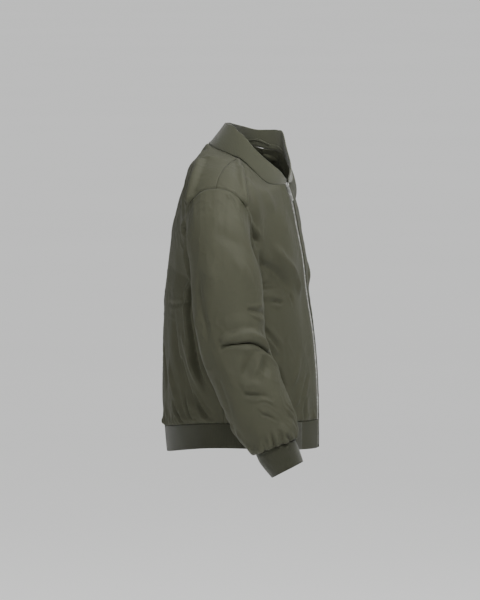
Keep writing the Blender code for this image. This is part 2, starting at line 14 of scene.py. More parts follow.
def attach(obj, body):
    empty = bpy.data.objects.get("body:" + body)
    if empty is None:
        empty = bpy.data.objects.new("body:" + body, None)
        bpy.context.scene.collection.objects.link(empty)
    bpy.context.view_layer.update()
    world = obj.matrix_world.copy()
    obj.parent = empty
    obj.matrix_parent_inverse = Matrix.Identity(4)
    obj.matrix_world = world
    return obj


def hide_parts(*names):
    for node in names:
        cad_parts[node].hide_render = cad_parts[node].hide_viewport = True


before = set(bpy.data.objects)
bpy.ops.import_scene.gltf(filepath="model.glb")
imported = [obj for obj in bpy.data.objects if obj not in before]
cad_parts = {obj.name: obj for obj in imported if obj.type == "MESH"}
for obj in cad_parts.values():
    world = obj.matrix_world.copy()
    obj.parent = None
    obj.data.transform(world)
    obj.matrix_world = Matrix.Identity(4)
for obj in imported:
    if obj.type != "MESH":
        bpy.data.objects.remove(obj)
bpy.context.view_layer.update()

# ------------------------------------------------------------------ the jacket's form

# Neck: the seam ring and the collar's top ring, in half width, depth to the front and depth to the back
NECK_FORWARD = 0.028
NECK_TWIST = -14.0
SEAM_RING = (0.088, 0.079, 0.0895, 0.84)
TOP_RING = (0.078, 0.081, 0.0530, 0.96)
FRONT_EDGE = 0.006
FRONT_ANGLE = 2.4
SHOULDER_ANGLE = (86, 98)

# angle round the neck, + to the wearer's left; height of the seam; height of the collar's top edge
NECK = (
    (-180, 0.018, 0.0575),
    (-144, 0.012, 0.0600),
    (-120, 0.006, 0.0600),
    (-100, -0.002, 0.0540),
    (-84, -0.014, 0.0380),
    (-64, -0.041, 0.0060),
    (-40, -0.066, -0.0230),
    (-20, -0.069, -0.0430),
    (0, -0.069, -0.0620),
    (14, -0.067, -0.0480),
    (28, -0.060, -0.0320),
    (42, -0.048, -0.0140),
    (53, -0.034, 0.0060),
    (62, -0.020, 0.0360),
    (72, -0.009, 0.0400),
    (90, -0.002, 0.0400),
    (113, 0.006, 0.0400),
    (144, 0.012, 0.0480),
    (180, 0.018, 0.0575),
)
# centre front: height, sideways, forward
FRONT_LINE = (
    (-0.640, 0.002, 0.170),
    (-0.5765, 0.002, 0.170),
    (-0.480, 0.002, 0.167),
    (-0.387, 0.001, 0.159),
    (-0.301, 0.000, 0.1455),
    (-0.228, -0.003, 0.1375),
    (-0.1656, -0.009, 0.1265),
    (-0.1075, -0.0150, 0.1160),
    (-0.069, -0.0191, 0.1047),
)
# centre back: height, sideways, forward
BACK_LINE = (
    (-0.6475, 0.000, -0.155),
    (-0.594, 0.000, -0.160),
    (-0.502, 0.000, -0.165),
    (-0.410, 0.000, -0.1655),
    (-0.320, 0.000, -0.161),
    (-0.230, 0.000, -0.151),
    (-0.180, 0.001, -0.144),
    (-0.130, 0.004, -0.134),
    (-0.080, 0.009, -0.118),
    (-0.030, 0.015, -0.092),
    (0.018, 0.0217, -0.0588),
)
# side seam: height, sideways, forward
SIDE_LINE = (
    (-0.6245, 0.179, -0.002),
    (-0.572, 0.184, -0.002),
    (-0.494, 0.193, -0.002),
    (-0.416, 0.197, -0.003),
    (-0.338, 0.197, -0.004),
    (-0.260, 0.188, -0.006),
)
HEM_FRONT, HEM_BACK, HEM_SIDE = -0.6375, -0.6475, -0.6245
# row of the panel; handle of the row's curve at the centre (out, forward, up); handle at the side
FRONT_ROWS = (
    (0, 0.055, 0.000, 0.003, -0.012, 0.000, 0.050),
    (2, 0.060, 0.006, -0.008, -0.022, 0.012, 0.046),
    (5, 0.085, 0.008, -0.014, -0.042, 0.030, 0.010),
    (7, 0.105, 0.007, -0.006, -0.020, 0.042, -0.014),
    (8, 0.110, 0.006, -0.002, -0.008, 0.050, -0.024),
    (9, 0.111, 0.005, 0.000, 0.000, 0.058, -0.030),
    (10, 0.112, 0.004, 0.000, 0.003, 0.070, -0.030),
    (11, 0.110, 0.001, 0.000, 0.004, 0.084, -0.016),
    (12, 0.108, -0.002, 0.000, 0.004, 0.090, -0.006),
    (14, 0.102, -0.008, 0.000, 0.004, 0.092, 0.000),
    (18, 0.090, -0.014, 0.000, 0.000, 0.088, 0.000),
)
BACK_ROWS = (
    (0, 0.055, 0.000, 0.003, -0.012, 0.000, 0.050),
    (2, 0.055, -0.010, 0.000, -0.018, -0.022, 0.048),
    (5, 0.085, -0.014, 0.000, -0.038, -0.050, 0.030),
    (7, 0.095, -0.008, 0.000, -0.020, -0.052, 0.000),
    (8, 0.100, -0.004, 0.000, -0.010, -0.054, -0.018),
    (9, 0.103, -0.002, 0.000, -0.001, -0.060, -0.028),
    (10, 0.105, 0.000, 0.000, 0.003, -0.072, -0.030),
    (11, 0.105, 0.000, 0.000, 0.004, -0.084, -0.016),
    (12, 0.105, 0.000, 0.000, 0.004, -0.088, -0.006),
    (14, 0.105, 0.000, 0.000, 0.004, -0.090, 0.000),
    (18, 0.100, 0.000, 0.000, 0.000, -0.087, 0.000),
)
# heights at which the rows below the neck leave the centre, and those below the armpit reach the side
FRONT_HEIGHTS = (-0.104, -0.141, -0.180, -0.221, -0.263, -0.301, -0.340)
FRONT_HEIGHTS += (-0.379, -0.418, -0.457, -0.497, -0.537, -0.5765)
BACK_HEIGHTS = (-0.030, -0.080, -0.130, -0.180, -0.230, -0.275, -0.320)
BACK_HEIGHTS += (-0.365, -0.410, -0.456, -0.502, -0.548, -0.594)
SIDE_HEIGHTS = (-0.299, -0.338, -0.377, -0.416, -0.455, -0.494, -0.533, -0.572)
# the neck's twist in the rows' handles, as a share, from the shoulder seam down
FRONT_TURNS = (0, 0.3, 0.6, 0.8, 1.0, 1.0, 0.64, 0.25, 0)
LEFT_FRONT_TURNS = (0, 0.05, 0.08, 0.1, 0.1, 0.1, 0.06, 0, 0)
BACK_TURNS = (0, 0.1, 0.2, 0.3, 0.4, 0.5, 0.3, 0.1, 0)
NECK_ROWS, ARM_ROWS, PANEL_ROWS, PANEL_COLUMNS = 5, 10, 18, 11
TAB_COLUMNS = 3
LINING_ROWS, LINING_COLUMNS, LINING_FINE = 7, 7, 0.0030

# sleeve and cuff sections: centre (out, forward, up), lean and fore tilt in degrees, half across,
# half fore and aft, squareness. Section 15 is the cuff seam.
SECTIONS = (
    (0, 0.219, -0.006, -0.165, 72, 0, 0.1000, 0.0660, 0.86),
    (1, 0.2525, 0.001, -0.195, 51, 0, 0.0890, 0.0690, 0.92),
    (2, 0.2635, 0.010, -0.223, 35, 0, 0.0785, 0.0715, 0.96),
    (3, 0.270, 0.0165, -0.254, 19, 0, 0.0680, 0.0730, 1.0),
    (4, 0.2715, 0.0195, -0.285, 8, 2, 0.0635, 0.0745, 1.0),
    (5, 0.271, 0.0220, -0.318, 0, 5, 0.0620, 0.0750, 1.0),
    (6, 0.270, 0.0255, -0.352, 0, 8, 0.0615, 0.0735, 1.0),
    (7, 0.270, 0.0315, -0.388, 0, 12, 0.0610, 0.0720, 1.0),
    (8, 0.269, 0.0420, -0.425, 0, 16, 0.0600, 0.0710, 1.0),
    (9, 0.267, 0.0560, -0.462, 0, 20, 0.0590, 0.0710, 1.0),
    (10, 0.265, 0.0710, -0.498, 0, 22, 0.0580, 0.0705, 1.0),
    (11, 0.263, 0.0865, -0.533, 0, 22.5, 0.0560, 0.0685, 1.0),
    (12, 0.261, 0.1015, -0.564, 0, 22.5, 0.0520, 0.0640, 1.0),
    (13, 0.259, 0.1150, -0.592, 0, 22, 0.0470, 0.0570, 1.0),
    (14, 0.258, 0.1205, -0.607, 0, 22, 0.0410, 0.0505, 1.0),
    (15, 0.258, 0.1215, -0.612, 0, 22, 0.0360, 0.0435, 1.0),
    (16, 0.2575, 0.1290, -0.628, 0, 24, 0.0355, 0.0430, 1.0),
    (17, 0.257, 0.1380, -0.644, 0, 26, 0.0340, 0.0400, 1.0),
    (18, 0.256, 0.1475, -0.660, 0, 28, 0.0320, 0.0360, 1.0),
)
CUFF_SEAM = 15
# the left arm hangs straighter: section, further back, lower, less tilt in degrees
STRAIGHTER = (
    (0, 0.000, 0.000, 0),
    (5, 0.000, 0.000, 0),
    (8, 0.008, 0.002, 4),
    (11, 0.036, 0.006, 12),
    (15, 0.062, 0.008, 13),
    (18, 0.080, 0.010, 15),
)

def read(table, key):
    """The table's columns at a key, on a smooth curve through its rows."""
    table = np.array(table, float)
    keys, values = table[:, 0], table[:, 1:]
    slopes = np.gradient(values, keys, axis=0)
    key = np.asarray(key, float)
    i = np.clip(np.searchsorted(keys, key, side="right") - 1, 0, len(keys) - 2)
    h = (keys[i + 1] - keys[i])[..., None]
    t = (key - keys[i])[..., None] / h
    start = (2 * t**3 - 3 * t**2 + 1) * values[i] + (t**3 - 2 * t**2 + t) * h * slopes[i]
    return start + (3 * t**2 - 2 * t**3) * values[i + 1] + (t**3 - t**2) * h * slopes[i + 1]


def power(value, exponent):
    return np.sign(value) * np.abs(value) ** exponent


def turned(vectors, share):
    """Vectors turned about the upright axis by a share of the neck's twist."""
    turn = np.radians(NECK_TWIST) * np.asarray(share, float)
    x, f, z, turn = np.broadcast_arrays(*np.moveaxis(np.asarray(vectors, float), -1, 0), turn)
    return np.stack([x * np.cos(turn) + f * np.sin(turn), f * np.cos(turn) - x * np.sin(turn), z], -1)


def neck_ring(angle, ring, height):
    half, front, back, squareness = ring
    t = np.radians(angle)
    x = half * power(np.sin(t), squareness)
    f = np.where(np.cos(t) > 0, front, back) * power(np.cos(t), squareness)
    at_zip = (np.cos(t) > 0.9) & (np.abs(x) < FRONT_EDGE)
    x = np.where(at_zip, np.sign(x) * FRONT_EDGE, x)
    return turned(np.stack([x, f, height], -1), 1) + (0, NECK_FORWARD, 0)


def neck_point(angle, rise):
    """A point of the collar: rise 0 is its seam, 1 its top edge."""
    angle, rise = np.broadcast_arrays(np.asarray(angle, float), np.asarray(rise, float))
    heights = read(NECK, angle)
    seam = neck_ring(angle, SEAM_RING, heights[..., 0])
    top = neck_ring(angle, TOP_RING, heights[..., 1])
    return seam * (1 - rise[..., None]) + top * rise[..., None]


def section(number, turn, side):
    """A point of a sleeve or cuff section; turn in degrees from its outer side, + to the front."""
    number, turn = np.broadcast_arrays(np.asarray(number, float), np.asarray(turn, float))
    x, f, z, lean, tilt, across, fore, squareness = np.moveaxis(read(SECTIONS, number), -1, 0)
    if side > 0:
        back, lower, less = np.moveaxis(read(STRAIGHTER, number), -1, 0)
        f, z, tilt = f - back, z - lower, tilt - less
    turn, lean, tilt = np.radians(turn), np.radians(lean), np.radians(tilt)
    a = power(np.cos(turn), squareness) * across
    b = power(np.sin(turn), squareness) * fore
    out = x + a * np.cos(lean)
    up = z + a * np.sin(lean) + b * np.sin(tilt)
    return np.stack([side * out, f + b * np.cos(tilt), up], -1)


def panel(is_front, side, rows, shares):
    """Half a front or back: rows run from shoulder seam to hem seam, shares from the centre to the side."""
    rows = np.asarray(rows, float)
    handles = read(FRONT_ROWS if is_front else BACK_ROWS, rows)
    heights = (NECK[8][1], *FRONT_HEIGHTS) if is_front else (NECK[-1][1], *BACK_HEIGHTS)
    below = read(list(enumerate(heights, NECK_ROWS)), np.maximum(rows, NECK_ROWS))[:, 0]
    first = SHOULDER_ANGLE[0] if side < 0 else SHOULDER_ANGLE[1]
    last = FRONT_ANGLE if is_front else 180
    at_neck = neck_point(side * (first + (last - first) * np.minimum(rows, NECK_ROWS) / NECK_ROWS), 0.0)
    if is_front:
        edge = turned((side * FRONT_EDGE, 0.0, 0.0), np.interp(below, [-0.165, -0.069], [0, 1]))
        at_middle = np.column_stack([read(FRONT_LINE, below), below]) + edge
    else:
        at_middle = np.column_stack([read(BACK_LINE, below), below])
    start = np.where((rows <= NECK_ROWS)[:, None], at_neck, at_middle)
    turn = 18 * np.minimum(rows, ARM_ROWS)
    at_arm = section(0, turn if is_front else -turn, side)
    armpit = section(0, 180, side)[2]
    down = read(list(enumerate((armpit, *SIDE_HEIGHTS), ARM_ROWS)), np.maximum(rows, ARM_ROWS))[:, 0]
    at_side = np.column_stack([read(SIDE_LINE, down) * (side, 1), down])
    end = np.where((rows <= ARM_ROWS)[:, None], at_arm, at_side)
    turns = (FRONT_TURNS if side < 0 else LEFT_FRONT_TURNS) if is_front else BACK_TURNS
    share = read(list(enumerate(turns)), np.minimum(rows, len(turns) - 1))[:, 0]
    leave = turned(handles[:, :3] * (side, 1, 1), share)
    arrive = handles[:, 3:] * (side, 1, 1)
    return bezier(start, leave, end, arrive, shares)


def bezier(start, leave, end, arrive, shares):
    u = np.asarray(shares, float)[None, :, None]
    start, leave, end, arrive = (v[:, None, :] for v in (start, leave, end, arrive))
    first = (1 - u) ** 3 * start + 3 * u * (1 - u) ** 2 * (start + leave)
    return first + 3 * u**2 * (1 - u) * (end + arrive) + u**3 * end


def rib_bottom(is_front, side, shares):
    """The hem band's bottom edge below half a panel."""
    handles = read(FRONT_ROWS if is_front else BACK_ROWS, np.array([float(PANEL_ROWS)]))
    if is_front:
        start = np.array([*read(FRONT_LINE, HEM_FRONT), HEM_FRONT]) + (side * FRONT_EDGE, 0, 0)
    else:
        start = np.array([*read(BACK_LINE, HEM_BACK), HEM_BACK])
    end = np.array([*read(SIDE_LINE, HEM_SIDE) * (side, 1), HEM_SIDE])
    leave = handles[:, :3] * (side, 1, 1)
    arrive = 0.96 * handles[:, 3:] * (side, 1, 1)
    return bezier(start[None], leave, end[None], arrive, shares)[0]

# ------------------------------------------------------------------ cloth

CLOTH, RIB, TAPE, LINING = 0.0011, 0.0028, 0.0010, 0.0007
SIDES = (("right", -1), ("left", 1))


def soft_step(x):
    x = np.clip(x, 0, 1)
    return x * x * (3 - 2 * x)


def evenly(lengths, spacing):
    """Fractional indices that cut a line into even steps, from the lengths along it at whole indices."""
    count = max(2, int(round(lengths[-1] / spacing)))
    return np.interp(np.linspace(0, lengths[-1], count + 1), lengths, np.arange(len(lengths)))


def lengths_along(line):
    """The length run along a line at each of its points."""
    return np.concatenate([[0], np.cumsum(np.linalg.norm(np.diff(line, axis=0), axis=1))])


def point_at(length, run, line):
    """A line's point, or way, at a length along it."""
    return np.array([np.interp(length, run, line[:, k]) for k in range(3)])


def run_lengths(points, axis):
    """Lengths run along a grid of points, down its rows or across its columns."""
    steps = np.linalg.norm(np.diff(points, axis=axis), axis=2)
    zeros = np.zeros_like(np.take(steps, [0], axis=axis))
    return np.cumsum(np.concatenate([zeros, steps], axis=axis), axis=axis)


class Cloth:
    """A sheet of cloth: a grid of points with its own rows and columns, raised and sunk into creases."""

    def __init__(self, name, rows, columns, points, outward, seed, around=False):
        self.name, self.rows, self.columns, self.around = name, rows, columns, around
        self.points = self.base = points * (1, -1, 1)
        self.rng = np.random.default_rng(seed)
        self.seed = seed
        self.outward = outward
        self.lift = np.zeros(points.shape[:2])
        self.drop = np.zeros(points.shape[:2])
        self.seam = np.full(points.shape[:2], 1.0)
        self.measure()

    def measure(self):
        """Works out lengths and outward ways from the points as they are."""
        self.across = run_lengths(self.points, 1)
        middle = self.across[:, [self.across.shape[1] // 2]]
        self.across = self.across - middle
        self.along = run_lengths(self.points, 0)
        self.normals = np.cross(np.gradient(self.points, axis=1), np.gradient(self.points, axis=0))
        self.normals /= np.linalg.norm(self.normals, axis=2)[..., None] + 1e-12
        if self.around:
            self.normals[:, 0] = self.normals[:, -1] = self.normals[:, [0, -1]].mean(axis=1)
        if (self.normals * self.outward(self.points)).sum() < 0:
            self.normals *= -1
        self.downs = np.gradient(self.points, axis=0)
        self.downs /= np.linalg.norm(self.downs, axis=2)[..., None]

    def lengths(self, edge):
        """Distance of every point from one edge of the sheet."""
        if edge == "top":
            return self.along
        if edge == "bottom":
            return self.along[-1:] - self.along
        if edge == "first":
            return self.across - self.across[:, :1]
        return self.across[:, -1:] - self.across

    def at(self, field, row, column):
        """A field of the sheet at rows and columns, between its points."""
        r = np.interp(row, self.rows, np.arange(len(self.rows)))
        c = np.interp(column, self.columns, np.arange(len(self.columns)))
        i = np.minimum(r.astype(int), len(self.rows) - 2)
        j = np.minimum(c.astype(int), len(self.columns) - 2)
        u, v = r - i, c - j
        if field.ndim == 3:
            u, v = u[..., None], v[..., None]
        near = field[i, j] * (1 - v) + field[i, j + 1] * v
        return near * (1 - u) + (field[i + 1, j] * (1 - v) + field[i + 1, j + 1] * v) * u

    def line(self, spots, steps=14):
        """Spots (row, column) as a smooth line in lengths across and along."""
        spots = np.array(spots, float)
        keys = np.linspace(0, 1, len(spots))
        if len(spots) > 2:
            spots = read(np.column_stack([keys, spots]), np.linspace(0, 1, steps))
        return np.stack([self.at(self.across, *spots.T), self.at(self.along, *spots.T)], -1)

    def crease(self, spots, height, width, shape, lead, tail):
        """Raises (or sinks) the cloth beside a line. width may differ from end to end."""
        line = self.line(spots)
        widths = np.broadcast_to(width, 2)
        shifts = (0.0,)
        if self.around:
            girth = float(np.median(self.across[:, -1] - self.across[:, 0]))
            shifts = (0.0, -girth, girth)
        for shift in shifts:
            path = line + (shift, 0)
            reach = 3.2 * max(widths)
            low, high = path.min(axis=0) - reach, path.max(axis=0) + reach
            inside = (self.across > low[0]) & (self.across < high[0])
            inside &= (self.along > low[1]) & (self.along < high[1])
            if not inside.any():
                continue
            spot = np.stack([self.across[inside], self.along[inside]], -1)
            best = np.full(len(spot), 1e9)
            share = np.zeros(len(spot))
            for k in range(len(path) - 1):
                step = path[k + 1] - path[k]
                size = max(float(step @ step), 1e-12)
                t = np.clip((spot - path[k]) @ step / size, 0, 1)
                off = spot - path[k] - t[:, None] * step
                far = np.linalg.norm(off, axis=1)
                side = np.sign(step[0] * off[:, 1] - step[1] * off[:, 0])
                nearer = far < np.abs(best)
                best = np.where(nearer, far * np.where(side == 0, 1, side), best)
                share = np.where(nearer, (k + t) / (len(path) - 1), share)
            x = best / (widths[0] + (widths[1] - widths[0]) * share)
            taper = np.ones(len(spot))
            if lead > 0:
                taper *= soft_step(share / lead)
            if tail > 0:
                taper *= soft_step((1 - share) / tail)
            self.lift[inside] += height * taper * SHAPES[shape](x)
            if shape in ("over", "under"):
                self.drop[inside] += 0.8 * abs(height) * taper * np.exp(-(((x + 0.4) / 0.55) ** 2))

    def gathers(self, edge, spacing, height, reach, lean=0.0, start=None, stop=None):
        """Uneven soft ridges that run in from a gathered seam."""
        rows = edge in ("top", "bottom")
        row = {"top": 0, "bottom": -1}.get(edge)
        length = self.across[row] if rows else self.along[:, 0 if edge == "first" else -1]
        keys = self.columns if rows else self.rows
        low = length[0] if start is None else np.interp(start, keys, length)
        high = length[-1] if stop is None else np.interp(stop, keys, length)
        place = low + spacing * self.rng.uniform(0.3, 0.9)
        while place < high - 0.3 * spacing:
            key = np.interp(place, length, keys)
            deep = reach * self.rng.uniform(0.45, 1.35)
            slant = lean + self.rng.normal(0, 0.22)
            tall = height * self.rng.uniform(0.45, 1.25)
            wide = 0.32 * spacing * self.rng.uniform(0.8, 1.3)
            self.ridge_from(edge, key, deep, slant, tall, wide)
            place += spacing * self.rng.uniform(0.6, 1.5)

    def ridge_from(self, edge, key, deep, slant, tall, wide):
        """One ridge that starts at an edge of the sheet and fades out inside it."""
        spots = []
        for share in np.linspace(0, 1, 4):
            run, off = deep * share, deep * share * slant
            if edge in ("top", "bottom"):
                line = self.along[:, 0]
                total = line[-1]
                row = np.interp(run if edge == "top" else total - run, line, self.rows)
                i = int(np.argmin(np.abs(self.rows - row)))
                here = np.interp(key, self.columns, self.across[i])
                spots.append((row, float(np.interp(here + off, self.across[i], self.columns))))
            else:
                i = int(np.argmin(np.abs(self.rows - key)))
                line = self.across[i] - self.across[i, 0]
                column = np.interp(run if edge == "first" else line[-1] - run, line, self.columns)
                j = int(np.argmin(np.abs(self.columns - column)))
                down = self.at(self.along, np.array([key]), np.array([column]))[0] + off
                spots.append((float(np.interp(down, self.along[:, j], self.rows)), column))
        self.crease(spots, tall, (wide, wide * 1.7), "soft", 0.0, 0.75)

    def ripple(self, height, lengths, seed=0.0):
        """Slow unevenness of hanging cloth; lengths are its waves along X, Y and Z."""
        flat = self.points.reshape(-1, 3) / np.array(lengths)
        offset = Vector((self.seed * 3.7 + seed, 1.3 * seed, -2.1 * seed))
        found = [noise.noise(Vector(p) + offset) for p in flat]
        self.lift += height * np.array(found).reshape(self.lift.shape)

    def crumple(self, height, lengths, seed):
        """Small sharp ridges in patches, as in cloth that has been worn."""
        flat = self.points.reshape(-1, 3)
        offset = Vector((self.seed * 5.3 + seed, 2.1 * seed, -1.7 * seed))
        ridges = np.array([noise.noise(Vector(p) + offset) for p in flat / np.array(lengths)])
        patches = np.array([noise.noise(Vector(p) - offset) for p in flat / 0.07])
        ridges = (1 - np.minimum(1, 3.2 * np.abs(ridges))) ** 2
        self.lift += height * (ridges * soft_step(patches * 2 + 0.45)).reshape(self.lift.shape)

    def seam_roll(self, edge, depth=0.0009, width=0.0028, hold=0.010):
        """Holds creases still at a sewn edge, and lets the cloth roll in along it."""
        off = self.lengths(edge)
        self.lift *= soft_step(off / hold) * 0.9 + 0.1 * soft_step(off / 0.002)
        self.drop *= soft_step(off / DROP_FADE)
        self.seam = np.minimum(self.seam, off)
        self.lift -= depth * np.exp(-((off / width) ** 2))

    def surface(self):
        return self.points + self.normals * self.lift[..., None] + self.downs * self.drop[..., None]

    def outward_at(self, places):
        """Outward ways at places on the cloth."""
        if not self.around:
            return from_axis(places)
        middles = self.points[:, :-1].mean(axis=1)
        return places - middles[np.abs(places[:, None, 2] - middles[None, :, 2]).argmin(axis=1)]


SHAPES = {
    "soft": lambda x: np.exp(-x * x),
    "tuck": lambda x: np.exp(-1.6 * np.abs(x)),
    "pinch": lambda x: np.exp(-1.5 * np.abs(x)) - 0.45 * np.exp(-(((np.abs(x) - 1.8) / 0.9) ** 2)),
    "under": lambda x: 0.85 * np.exp(-(((x + 1.2) / 1.1) ** 2))
    - 1.25 * np.exp(-((x / np.where(x < 0, 0.5, 1.7)) ** 2)),
    "over": lambda x: np.exp(-(((x + 1.15) / 1.1) ** 2)) - np.exp(-(((x - 0.3) / 0.65) ** 2))
    + 0.3 * np.exp(-(((x - 2.2) / 1.0) ** 2)),
}


def mesh_of(bm, name):
    """A new mesh from a bmesh, which is freed."""
    mesh = bpy.data.meshes.new(name)
    bm.to_mesh(mesh)
    bm.free()
    return mesh


def grid_mesh(name, points, uv, values=None, closes=False):
    """A mesh of a grid of points: a bmesh grid moved into place, and welded where it closes."""
    rows, columns = points.shape[:2]
    bm = bmesh.new()
    bmesh.ops.create_grid(bm, x_segments=columns - 1, y_segments=rows - 1, size=0.5)
    mesh = mesh_of(bm, name)
    flat = np.empty(len(mesh.vertices) * 3)
    mesh.vertices.foreach_get("co", flat)
    flat = flat.reshape(-1, 3)
    j = np.rint((flat[:, 0] + 0.5) * (columns - 1)).astype(int)
    i = np.rint((flat[:, 1] + 0.5) * (rows - 1)).astype(int)
    mesh.vertices.foreach_set("co", points[i, j].ravel())
    layer = mesh.uv_layers.new(name="cloth")
    corner = np.empty(len(mesh.loops), int)
    mesh.loops.foreach_get("vertex_index", corner)
    layer.data.foreach_set("uv", uv[i[corner], j[corner]].ravel())
    for key, field in (values or {}).items():
        attribute = mesh.attributes.new(key, "FLOAT", "POINT")
        attribute.data.foreach_set("value", field[i, j].astype(np.float32))
    if closes:
        bm = bmesh.new()
        bm.from_mesh(mesh)
        bmesh.ops.remove_doubles(bm, verts=bm.verts, dist=2e-6)
        bm.to_mesh(mesh)
        bm.free()
    return mesh


def face_outwards(mesh, towards):
    """Turns the whole mesh over if most of its faces look away from the given direction field."""
    count = len(mesh.polygons)
    centres, normals = np.empty(count * 3), np.empty(count * 3)
    mesh.polygons.foreach_get("center", centres)
    mesh.polygons.foreach_get("normal", normals)
    if (normals.reshape(-1, 3) * towards(centres.reshape(-1, 3))).sum() < 0:
        mesh.flip_normals()


def linked(name, data):
    """A new object in the scene."""
    obj = bpy.data.objects.new(name, data)
    bpy.context.scene.collection.objects.link(obj)
    return obj


def piece(name, mesh, body, nodes, look, smooth=True):
    """An object that rides on a body, stands in for CAD nodes and has its finish in a slot."""
    mesh.polygons.foreach_set("use_smooth", [True] * len(mesh.polygons))
    if not smooth:
        mesh.set_sharp_from_angle(angle=math.radians(35))
    obj = linked(name, mesh)
    mesh.materials.append(look)
    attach(obj, body)
    if nodes:
        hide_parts(*nodes)
    return obj


def thicken(obj, thickness):
    made = obj.modifiers.new("cloth", "SOLIDIFY")
    made.thickness = thickness
    made.offset = 0.0
    made.use_even_offset = False
    return obj


def from_axis(points):
    return points - np.array((0, 0, -0.30))


def from_middles(points):
    """Outward from the middle of each section of a sleeve or cuff."""
    return points - points[:, :-1].mean(axis=1)[:, None]

# ------------------------------------------------------------------ finishes


class Sock:
    """One value in a finish. Python's operators on it add the nodes that work it out."""

    def __init__(self, look, socket):
        self.look, self.socket = look, socket

    def maths(self, operation, *values):
        return self.look.node("ShaderNodeMath", {"operation": operation}, dict(enumerate(values)))

    def __add__(self, other):
        return self.maths("ADD", self, other)

    def __sub__(self, other):
        return self.maths("SUBTRACT", self, other)

    def __rsub__(self, other):
        return self.maths("SUBTRACT", other, self)

    def __mul__(self, other):
        return self.maths("MULTIPLY", self, other)

    def __truediv__(self, other):
        return self.maths("DIVIDE", self, other)

    def __pow__(self, other):
        return self.maths("POWER", self, other)

    __radd__, __rmul__ = __add__, __mul__


class Look:
    """A finish: a Principled shader and the nodes that feed it."""

    def __init__(self, name, **fixed):
        self.material = bpy.data.materials.new(name)
        self.material.use_nodes = True
        self.tree = self.material.node_tree
        self.tree.nodes.clear()
        self.shader = self.tree.nodes.new("ShaderNodeBsdfPrincipled")
        out = self.tree.nodes.new("ShaderNodeOutputMaterial")
        self.tree.links.new(self.shader.outputs[0], out.inputs[0])
        for key, value in fixed.items():
            self.shader.inputs[key.replace("_", " ").title().replace("Ior", "IOR")].default_value = value

    def node(self, kind, settings=None, inputs=None, output=0):
        made = self.tree.nodes.new(kind)
        for key, value in (settings or {}).items():
            setattr(made, key, value)
        for key, value in (inputs or {}).items():
            if isinstance(value, Sock):
                self.tree.links.new(value.socket, made.inputs[key])
            else:
                made.inputs[key].default_value = value
        return Sock(self, made.outputs[output])

    def feed(self, **inputs):
        for key, value in inputs.items():
            self.tree.links.new(value.socket, self.shader.inputs[key.replace("_", " ").title()])
        return self

    def place(self):
        return self.node("ShaderNodeTexCoord", output="Object")

    def across_and_along(self):
        """Metres across and along the cloth."""
        uv = self.node("ShaderNodeUVMap", {"uv_map": "cloth"})
        return [self.node("ShaderNodeSeparateXYZ", inputs={0: uv}, output=k) for k in (0, 1)]

    def attribute(self, name):
        return self.node("ShaderNodeAttribute", {"attribute_name": name}, output="Fac")

    def cloudy(self, where, scale, detail=3.0, roughness=0.55, stretch=None):
        """Noise from 0 to 1 with about this many clouds a metre."""
        if stretch:
            where = self.node("ShaderNodeMapping", inputs={"Vector": where, "Scale": stretch})
        settings = {"Vector": where, "Scale": scale, "Detail": detail, "Roughness": roughness}
        return self.node("ShaderNodeTexNoise", {"noise_dimensions": "3D"}, settings)

    def between(self, value, low, high, to_low=0.0, to_high=1.0):
        """A smooth step from one value to another."""
        settings = {"interpolation_type": "SMOOTHSTEP"}
        return self.node("ShaderNodeMapRange", settings, {0: value, 1: low, 2: high, 3: to_low, 4: to_high})

    def mix(self, factor, first, second):
        return self.node("ShaderNodeMix", {"data_type": "RGBA"}, {0: factor, 6: first, 7: second}, 2)

    def tinted(self, colour, share):
        """The colour times a value."""
        return self.node("ShaderNodeVectorMath", {"operation": "SCALE"}, {0: colour, "Scale": share})

    def bump(self, height, distance, strength=1.0, normal=None):
        inputs = {"Height": height, "Distance": distance, "Strength": strength}
        if normal:
            inputs["Normal"] = normal
        return self.node("ShaderNodeBump", {}, inputs)


def wave(value, length):
    """A sine of this length, in metres, from -1 to 1."""
    turns = value * (2 * math.pi / length)
    return turns.maths("SINE", turns)


def nylon(name, colour, worn, thread=0.00052, crumple=1.0):
    """Plain-woven cloth: threads, small crumples, and a light haze on what stands out that is partly wear and
    partly painted highlight.
    """
    look = Look(name, sheen_weight=SHEEN, sheen_roughness=0.45, specular_ior_level=0.22)
    here = look.place()
    u, v = look.across_and_along()
    yarn_u = look.cloudy(here, 900, 1.0)
    weave = wave(u + (yarn_u - 0.5) * (0.3 * thread), 2 * thread) * wave(v, 2 * thread)
    slub = look.cloudy(here, 260, 2.0, 0.6, (1.0, 1.0, 0.25))
    patches = look.cloudy(here, 7, 3.0, 0.5)
    mottle = look.cloudy(here, 55, 4.0, 0.6)
    shade = 1.0 + (patches - 0.5) * 0.16 + (mottle - 0.5) * 0.12 + (slub - 0.5) * 0.08 + weave * 0.06
    # raised folds and seam edges turn towards the worn colour: at the seams this is wear, on raised folds it
    # is wear and a painted highlight
    raised = look.between(look.attribute("lift"), 0.0, 0.006)
    beside = look.between(look.attribute("seam"), 0.0005, 0.005, 1.0, 0.0)
    wear_and_highlight = (raised * 0.35 + beside * 0.45) * look.between(mottle, 0.35, 0.7)
    base = look.mix(wear_and_highlight, (*colour, 1), (*worn, 1))
    crumples = look.cloudy(here, 95, 3.0, 0.5)
    fine = look.bump(weave + (slub - 0.5) * 0.8, 0.00006, 0.6)
    full = look.bump(crumples, 0.0011 * crumple, 0.55, fine)
    tint = look.tinted(base, shade)
    return look.feed(base_color=tint, roughness=0.70 + (mottle - 0.5) * 0.18 + wear_and_highlight * 0.05, normal=full)


